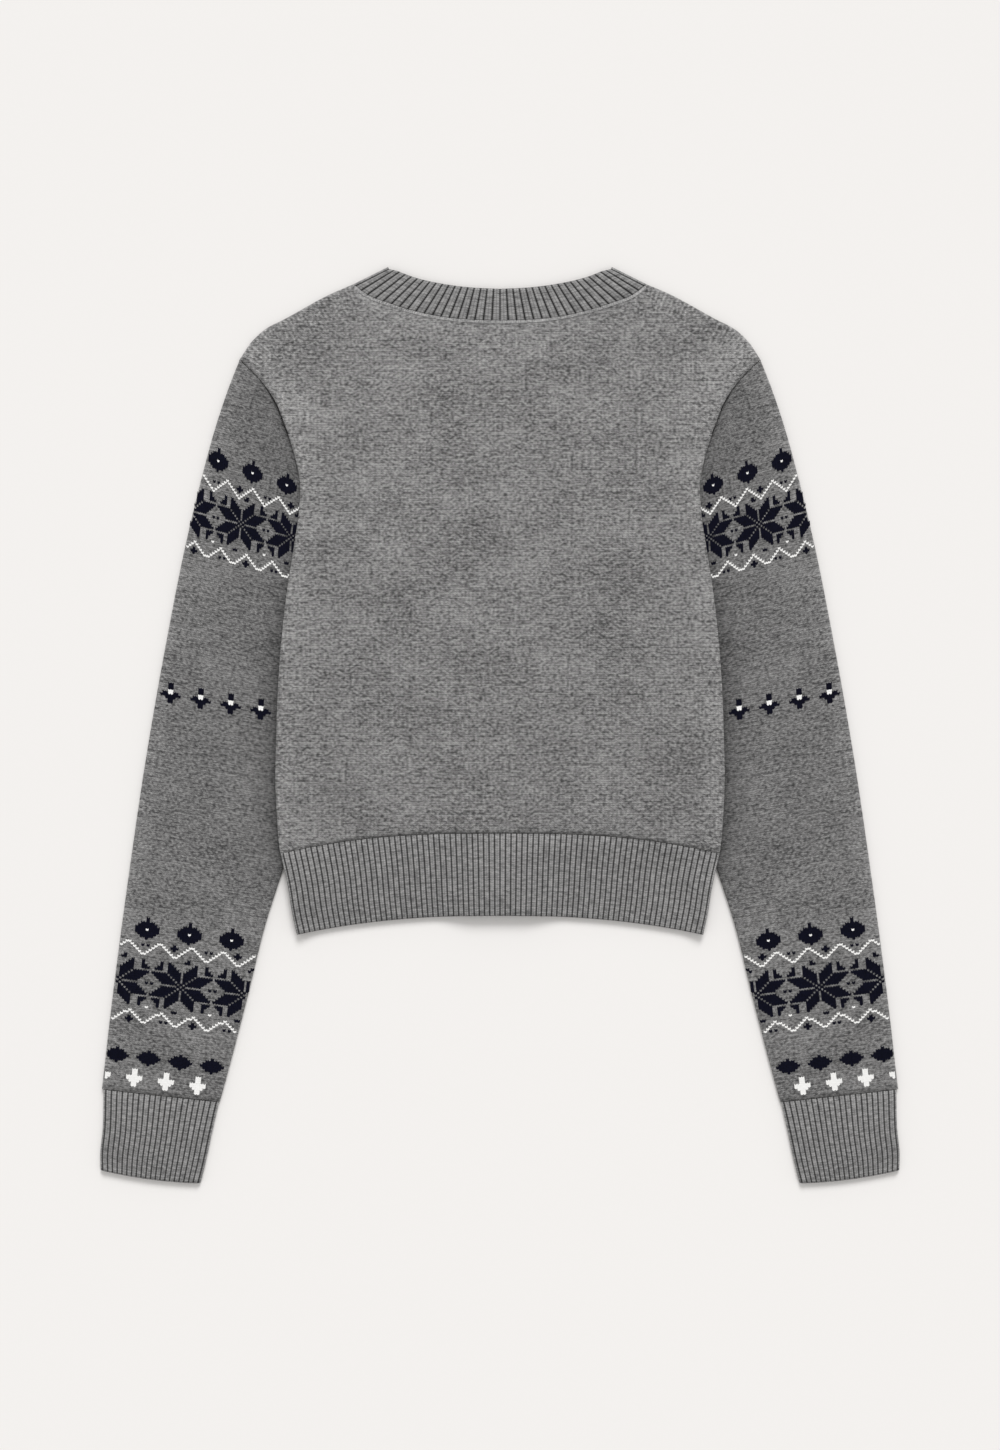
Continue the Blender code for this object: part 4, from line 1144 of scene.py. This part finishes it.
def band_chart(a, b, band):
    """Yarn for each stitch of a star band: 0 grey, 1 navy, 2 white, 3 a single white stitch."""
    yarn_of = np.zeros(a.shape, int)
    yarn_of[star_chart(a, b)] = 1
    yarn_of[crosslet(a, b, band.upper_trough, round(band.upper_low) + 4)] = 1
    peak = band.lower_trough + SMALL_REPEAT / 2
    yarn_of[crosslet(a, b, peak, round(band.lower_low + ZIGZAG_RISE) - 4)] = 1
    x, y = np.abs(nearest(a, DIAMOND_REPEAT, band.diamond)), np.abs(b - DIAMOND_COURSE)
    yarn_of[stepped(x, y, (4, 4, 3, 2, 0)) | (x == 0) & (b == DIAMOND_COURSE + 5)] = 1
    yarn_of[(x == 0) & (y == 0)] = 3
    yarn_of[b == zigzag(a, band.upper_low, band.upper_trough)] = 3
    yarn_of[b == zigzag(a, band.lower_low, band.lower_trough)] = 3
    yarn_of[(b == -11) & (a % STAR_REPEAT == 12)] = 3
    if band is LOWER_BAND:
        x, y = np.abs(nearest(a, SMALL_REPEAT, SOLID_SHIFT)), np.abs(b - SOLID_COURSE)
        yarn_of[stepped(x, y, (4, 3, 2, 0))] = 1
        x, y = np.abs(nearest(a, SMALL_REPEAT, PLUS_SHIFT)), b - PLUS_COURSE
        yarn_of[(x < 1) & (y >= -3) & (y <= 4) | (x < 3) & (y >= 0) & (y <= 1)] = 2
        yarn_of[(x < 2) & (y == -1)] = 2
    return yarn_of


def cross_chart(a, b):
    """The row of small crosses with a light heart, two stitches wide."""
    x = np.abs(nearest(a, SMALL_REPEAT, 0.5))
    yarn_of = np.zeros(a.shape, int)
    yarn_of[(x < 1) & (np.abs(b) <= 4) | (x < 4) & (b == -1) | (x < 3) & (b == 0)] = 1
    yarn_of[(x < 2) & (b == -2)] = 1
    yarn_of[(x < 1) & (b >= 0) & (b <= 1)] = 2
    return yarn_of


def stitch_places(motifs, a, b):
    """Plan of each stitch's centre, and its steps along the row and up the wale: the row runs
    inwards and down at the motifs' slope, which turns with each course."""
    slope = np.radians(motifs.slope + motifs.turn * np.maximum(b, 0))
    wide = motifs.wide + motifs.grow * np.abs(b)
    row = np.stack([-np.cos(slope), -np.sin(slope)], -1) * wide[..., None]
    wale = np.array([motifs.lean, 1.0]) / np.hypot(motifs.lean, 1.0) * motifs.high
    centre = np.array([motifs.out, motifs.up]) + row * a[..., None] + wale * b[..., None]
    return centre, row, np.broadcast_to(wale, centre.shape)


# A stitch's two legs: three points across each leg at its foot and at its head, as shares of the
# row and wale steps, and the ridge's height
LEG = np.array([
    [(-0.53, -0.32, 0.0), (-0.27, -0.55, 0.45), (0.0, -0.80, 0.0)],
    [(-0.53, 0.72, 0.0), (-0.27, 0.50, 0.45), (0.0, 0.24, 0.0)],
])


# Size of a stitch of each yarn of the chart: navy spreads, and a single white stitch is short
STITCH_SIZE = [(1.0, 1.0), (1.18, 1.08), (1.04, 1.0), (1.18, 0.80)]


def stitch_meshes(centre, row, wale, height_of, hand, under, spread=(1.0, 1.0)):
    """Points and quads of the stitches: centre + row u + wale v, at height_of plus the ridge."""
    shape = np.stack([LEG, LEG * (-1, 1, 1)]).reshape(-1, 3)
    spread = np.atleast_2d(spread)
    plan = (
        centre[:, None]
        + row[:, None] * shape[None, :, :1] * spread[:, None, :1]
        + wale[:, None] * shape[None, :, 1:2] * spread[:, None, 1:]
    )
    ridge = shape[None, :, 2] * size("leg_height")
    if under:
        z = -0.02 - ridge * 0.2 + 0 * plan[..., 0]
    else:
        z = height_of(plan[..., 0], plan[..., 1]) + 0.12 + ridge
    points = np.stack([plan[..., 0] * hand, plan[..., 1], z], -1).reshape(-1, 3)
    quads = np.array([(k, k + 1, k + 4, k + 3) for k in (0, 1, 6, 7)])
    # The legs mirror each other, so one of them is wound the other way for both to face one side
    leg = slice(0, 2) if under else slice(2, 4)
    quads[leg] = quads[leg, ::-1]
    if hand < 0:
        quads = quads[:, ::-1]
    number = np.arange(len(centre))[:, None, None] * len(shape) + quads[None]
    return points, number.reshape(-1, 4)


def make_colourwork(name, hand, sleeve):
    """Every navy and white stitch of a sleeve, laid over the grey, on top and underneath."""
    points, quads, picks, count = [], [], [], 0
    for motifs, low, high in ((UPPER_BAND, -20, 30), (MIDDLE_ROW, -5, 5), (LOWER_BAND, -48, 30)):
        a, b = np.meshgrid(np.arange(-60, 61), np.arange(low, high + 1))
        a, b = a.ravel(), b.ravel()
        yarn_of = cross_chart(a, b) if motifs is MIDDLE_ROW else band_chart(a, b, motifs)
        a, b, yarn_of = a[yarn_of > 0], b[yarn_of > 0], yarn_of[yarn_of > 0]
        centre, row, wale = stitch_places(motifs, a, b)
        out, up = centre[:, 0], centre[:, 1]
        inside = (out < out_at(SLEEVE_OUTER, up) - 0.5) & (out > sleeve_in(up) + 1.1)
        cuff_seam = SLEEVE_OUTER[0].up - CUFF_DROP * (CUFF_OUTER[-1].out + 0.4 - out)
        inside &= (up > cuff_seam + 1.0) & (up < SHOULDER_TIP)
        for under in (False, True):
            keep = inside & (under | (out > body_edge(up) - 0.5))
            spread = np.array(STITCH_SIZE)[yarn_of[keep]]
            p, q = stitch_meshes(
                centre[keep], row[keep], wale[keep], sleeve_height, hand, under, spread
            )
            points.append(p)
            quads.append(q + count)
            picks.append(np.repeat(np.minimum(yarn_of[keep] - 1, 1), 4))
            count += len(p)
    points, quads = np.concatenate(points), np.concatenate(quads)
    uv = points[:, :2] * (hand, 1) / 1.3
    yarns = [yarn("navy_yarn"), yarn("white_yarn")]
    work = mesh_object(name, points, quads, uv, yarns, np.concatenate(picks))
    return work


def make_linking():
    """The chain of stitches that links the neckband to the back: a V every 2 mm of the seam."""
    share = (np.arange(LINKS) + 0.5) / LINKS
    across = np.abs(2 * share - 1)
    at, ahead = (
        beside(NECK_BACK_SEAM, s, 0.1) - neck_pull(s) for s in (across, across + 0.004)
    )
    run = (ahead - at) / np.linalg.norm(ahead - at, axis=1)[:, None]
    side = np.where(share < 0.5, -1, 1)
    at[:, 0] *= side
    run[:, 1] *= side
    row = np.stack([-run[:, 1], run[:, 0]], -1) * 1.9

    def height(out, up):
        return back_top(out, up) - 0.35

    points, quads = stitch_meshes(at, row, run * 1.35, height, 1, False)
    quads = quads[:, ::-1]
    uv = points[:, :2] / 1.5
    # The chain takes the ribs' yarn with painted light on it
    chain = mesh_object("linking_stitches", points, quads, uv, [yarn("linking_yarn")])
    return chain


# ---------------------------------------------------------------- buttons and stage


def clouded(tree, shader, scale, detail, dark, light):
    """Colour that a noise moves between two values, and the Principled shader's base colour."""
    place = link(tree, kind="ShaderNodeTexCoord").outputs["Object"]
    noise = link(tree, kind="ShaderNodeTexNoise", Vector=place, Scale=scale, Detail=detail)
    mix = link(
        tree, kind="ShaderNodeMix", settings={"data_type": "RGBA"}, n0=noise.outputs["Fac"],
        n6=(*dark, 1), n7=(*light, 1),
    )
    tree.links.new(mix.outputs[2], shader.inputs["Base Color"])


def button_material(tree, shader):
    c = bpy.context.scene.cardigan_colours.button
    clouded(tree, shader, 900.0, 4.0, [0.7 * k for k in c], [1.3 * k for k in c])
    shader.inputs["Roughness"].default_value = 0.28
    shader.inputs["Coat Weight"].default_value = 0.3


def tube_quads(rows, columns):
    """Quads of a grid of points that closes across its columns."""
    n = np.arange(rows * columns).reshape(rows, columns)
    n = np.concatenate([n, n[:, :1]], axis=1)
    return np.stack([n[:-1, :-1], n[1:, :-1], n[1:, 1:], n[:-1, 1:]], -1).reshape(-1, 4)


# A button's section, from its middle below, round its rim, to its middle above: share of the
# radius, and height
BUTTON_PROFILE = np.array([
    (0.001, 0.55), (0.30, 0.55), (0.58, 0.50), (0.66, 0.30), (0.74, 0.05), (0.84, 0.0),
    (0.94, 0.10), (1.0, 0.55), (1.0, 1.1), (0.95, 1.7), (0.86, 2.1), (0.001, BUTTON_THICK),
])
BUTTON_SIDES = 48
THREAD_STEPS, THREAD_SIDES = 9, 8


def make_button(name):
    """A turned button, its rim and dish facing down: a profile of radius and height, spun; and two
    crossed threads, whose ends taper flat: height 0.50 + 0.22 s^4 - 0.30 sin a (1 - s^6)."""
    low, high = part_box(name)
    middle = (np.array(low) + np.array(high)) / 2 * 1000 + (0, MIDDLE_UP, 0)
    angle = np.linspace(0, 2 * np.pi, BUTTON_SIDES, endpoint=False)
    radius = BUTTON_PROFILE[:, :1] * BUTTON_ACROSS / 2
    x, y = radius * np.cos(angle) + middle[0], radius * np.sin(angle) + middle[1]
    points = np.stack([x, y, BUTTON_PROFILE[:, 1:] + 0 * x], -1).reshape(-1, 3)
    quads = tube_quads(len(BUTTON_PROFILE), BUTTON_SIDES)[:, ::-1]
    plastic = material("button_navy", button_material)
    button = mesh_object(f"{name}_turned", points, quads, points[:, :2], [plastic])
    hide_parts(name)
    s = np.linspace(-1, 1, THREAD_STEPS)[:, None]
    ring = np.linspace(0, 2 * np.pi, THREAD_SIDES, endpoint=False)[None, :]
    height = 0.50 + 0.22 * s**4 - 0.30 * np.sin(ring) * (1 - s**6)
    threads = []
    for turn in (1, -1):
        run = np.array([1.0, turn]) / np.sqrt(2)
        x = middle[0] + run[0] * s * 2.1 - run[1] * 0.32 * np.cos(ring)
        y = middle[1] + run[1] * s * 2.1 + run[0] * 0.32 * np.cos(ring)
        threads.append(np.stack([x, y, height], -1).reshape(-1, 3))
    points = np.concatenate(threads)
    quads = tube_quads(THREAD_STEPS, THREAD_SIDES)
    quads = np.concatenate([quads, quads + len(threads[0])])
    thread = mesh_object(f"{name}_thread", points, quads, points[:, :2], [yarn("navy_yarn")])
    return button


FLOOR_HALF = 4.0  # m
FLOOR_DROP = 0.15  # mm, so that the underside's stitches stay clear of the floor
CAMERA_LENS = 85.0
CAMERA_GATE = 24.0


def floor_material(tree, shader):
    c = bpy.context.scene.cardigan_colours.floor
    clouded(tree, shader, 3.0, 1.0, [0.995 * k for k in c], c)
    shader.inputs["Roughness"].default_value = 0.9
    shader.inputs["Specular IOR Level"].default_value = 0.1


def make_stage():
    half, z = FLOOR_HALF, -FLOOR_DROP / 1000
    mesh = bpy.data.meshes.new("floor")
    corners = [(-half, -half, z), (half, -half, z), (half, half, z), (-half, half, z)]
    mesh.from_pydata(corners, [], [(0, 1, 2, 3)])
    mesh.materials.append(material("pale_floor", floor_material))
    floor = bpy.data.objects.new("floor", mesh)
    scene = bpy.context.scene
    scene.collection.objects.link(floor)
    scene.world = bpy.data.worlds.new("studio")
    scene.world.use_nodes = True
    sky = scene.world.node_tree.nodes["Background"].inputs
    sky["Color"].default_value = (1.0, 0.995, 0.985, 1)
    sky["Strength"].default_value = 0.65
    key = bpy.data.lights.new("key", "SUN")
    key.angle = np.radians(28)
    key.energy = 1.70
    lamp = bpy.data.objects.new("key", key)
    lamp.rotation_euler = np.radians((-46, 8, 0))
    scene.collection.objects.link(lamp)
    camera = bpy.data.cameras.new("camera")
    camera.sensor_fit = "HORIZONTAL"
    camera.sensor_width = CAMERA_GATE
    camera.lens = CAMERA_LENS
    eye = bpy.data.objects.new("camera", camera)
    eye.location = (0, 0, size("picture_width") / 1000 * CAMERA_LENS / CAMERA_GATE)
    scene.collection.objects.link(eye)
    scene.camera = eye
    scene.view_settings.view_transform = "Standard"


# ---------------------------------------------------------------- add-on


def length(name, text, value, low, high):
    return bpy.props.FloatProperty(
        name=name, description=text, subtype="DISTANCE", unit="LENGTH", default=value, min=low,
        max=high, precision=5,
    )


def colour(name, text, value):
    return bpy.props.FloatVectorProperty(
        name=name, description=text, subtype="COLOR", default=value, min=0, max=1
    )


class CardiganSizes(bpy.types.PropertyGroup):
    """The sizes of the stitches and of the picture; the garment's own size is the CAD's."""

    wale: length("Wale", "Width of one stitch of the grey knitting", 0.0019, 0.0005, 0.01)
    course: length("Course", "Height of one row of the grey knitting", 0.0016, 0.0005, 0.01)
    rib_relief: length(
        "Rib relief", "Height of a rib's crest over its grooves", 0.0012, 0.0, 0.0012)
    seam_depth: length("Seam depth", "How far the cloth sinks beside a seam", 0.0007, 0.0, 0.001)
    leg_height: length(
        "Leg height", "Scale of the raised legs of a colourwork stitch", 0.0006, 0.0, 0.002)
    picture_width: length(
        "Picture width", "What the camera takes in across, at the garment", 0.72, 0.1, 5.0)


class CardiganColours(bpy.types.PropertyGroup):
    """The colours of the yarns, the buttons and the floor."""

    heather_dark: colour(
        "Heather, dark", "Darkest fibres of the body's grey yarn", (0.067, 0.0665, 0.067))
    heather_light: colour(
        "Heather, light", "Lightest fibres of the body's grey yarn", (0.482, 0.475, 0.473))
    rib_dark: colour("Rib, dark", "Darkest fibres of the ribs' grey yarn", (0.13, 0.129, 0.13))
    rib_light: colour("Rib, light", "Lightest fibres of the ribs' grey yarn", (0.39, 0.385, 0.383))
    navy: colour("Navy", "Dark colourwork yarn", (0.0035, 0.004, 0.013))
    off_white: colour("Off-white", "Light colourwork yarn", (0.95, 0.945, 0.93))
    button: colour("Button", "Plastic of the buttons", (0.020, 0.021, 0.030))
    floor: colour("Floor", "Studio floor", (0.885, 0.867, 0.852))


PIECES = []


def piece(label, text):
    """Turns a function that makes pieces into an operator class of the add-on."""

    def wrap(run):
        def execute(self, context):
            run()
            return {"FINISHED"}

        name = "CARDIGAN_OT_" + run.__name__
        made = type(name, (bpy.types.Operator,), {
            "bl_idname": "cardigan." + run.__name__, "bl_label": label, "__doc__": text,
            "execute": execute,
        })
        PIECES.append(made)
        return run

    return wrap


@piece("Back", "Knits the back panel")
def back():
    make_back()


@piece("Fronts", "Knits the two front panels")
def fronts():
    make_front("front_left", -1)
    make_front("front_right", 1)


@piece("Sleeves", "Knits the sleeves and their colourwork")
def sleeves():
    for name, hand in (("sleeve_left", -1), ("sleeve_right", 1)):
        make_colourwork(f"colourwork_{name[7:]}", hand, make_sleeve(name, hand))


@piece("Ribs", "Knits the hem, the cuffs and the neckband, and links the neckband on")
def ribs():
    make_hem_back()
    make_hem_front("hem_rib_front_left", -1)
    make_hem_front("hem_rib_front_right", 1)
    make_cuff("cuff_left", -1)
    make_cuff("cuff_right", 1)
    make_neckband()
    make_linking()


@piece("Bands", "Knits the two front bands")
def bands():
    make_band("buttonhole_band", OUTER_BAND_Z)
    make_band("button_band", INNER_BAND_Z)


@piece("Buttons", "Turns the buttons and sews them on")
def buttons():
    for name in sorted(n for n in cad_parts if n.startswith("button_") and n != "button_band"):
        make_button(name)


@piece("Stage", "Sets the floor, the lights and the camera")
def stage():
    make_stage()


class CARDIGAN_PT_panel(bpy.types.Panel):
    """Lists the cardigan's pieces, sizes and colours."""

    bl_label = "Cropped cardigan"
    bl_idname = "CARDIGAN_PT_panel"
    bl_space_type = "VIEW_3D"
    bl_region_type = "UI"
    bl_category = "Cardigan"

    def draw(self, context):
        for made in PIECES:
            self.layout.operator(made.bl_idname)
        for name in CardiganSizes.__annotations__:
            self.layout.prop(context.scene.cardigan_sizes, name)
        for name in CardiganColours.__annotations__:
            self.layout.prop(context.scene.cardigan_colours, name)


CLASSES = [CardiganSizes, CardiganColours, *PIECES, CARDIGAN_PT_panel]


def register():
    for made in CLASSES:
        bpy.utils.register_class(made)
    bpy.types.Scene.cardigan_sizes = bpy.props.PointerProperty(type=CardiganSizes)
    bpy.types.Scene.cardigan_colours = bpy.props.PointerProperty(type=CardiganColours)


def unregister():
    del bpy.types.Scene.cardigan_colours
    del bpy.types.Scene.cardigan_sizes
    for made in reversed(CLASSES):
        bpy.utils.unregister_class(made)


def main():
    register()
    for made in PIECES:
        group_name, run = made.bl_idname.split(".")
        getattr(getattr(bpy.ops, group_name), run)()


if __name__ == "__main__":
    main()
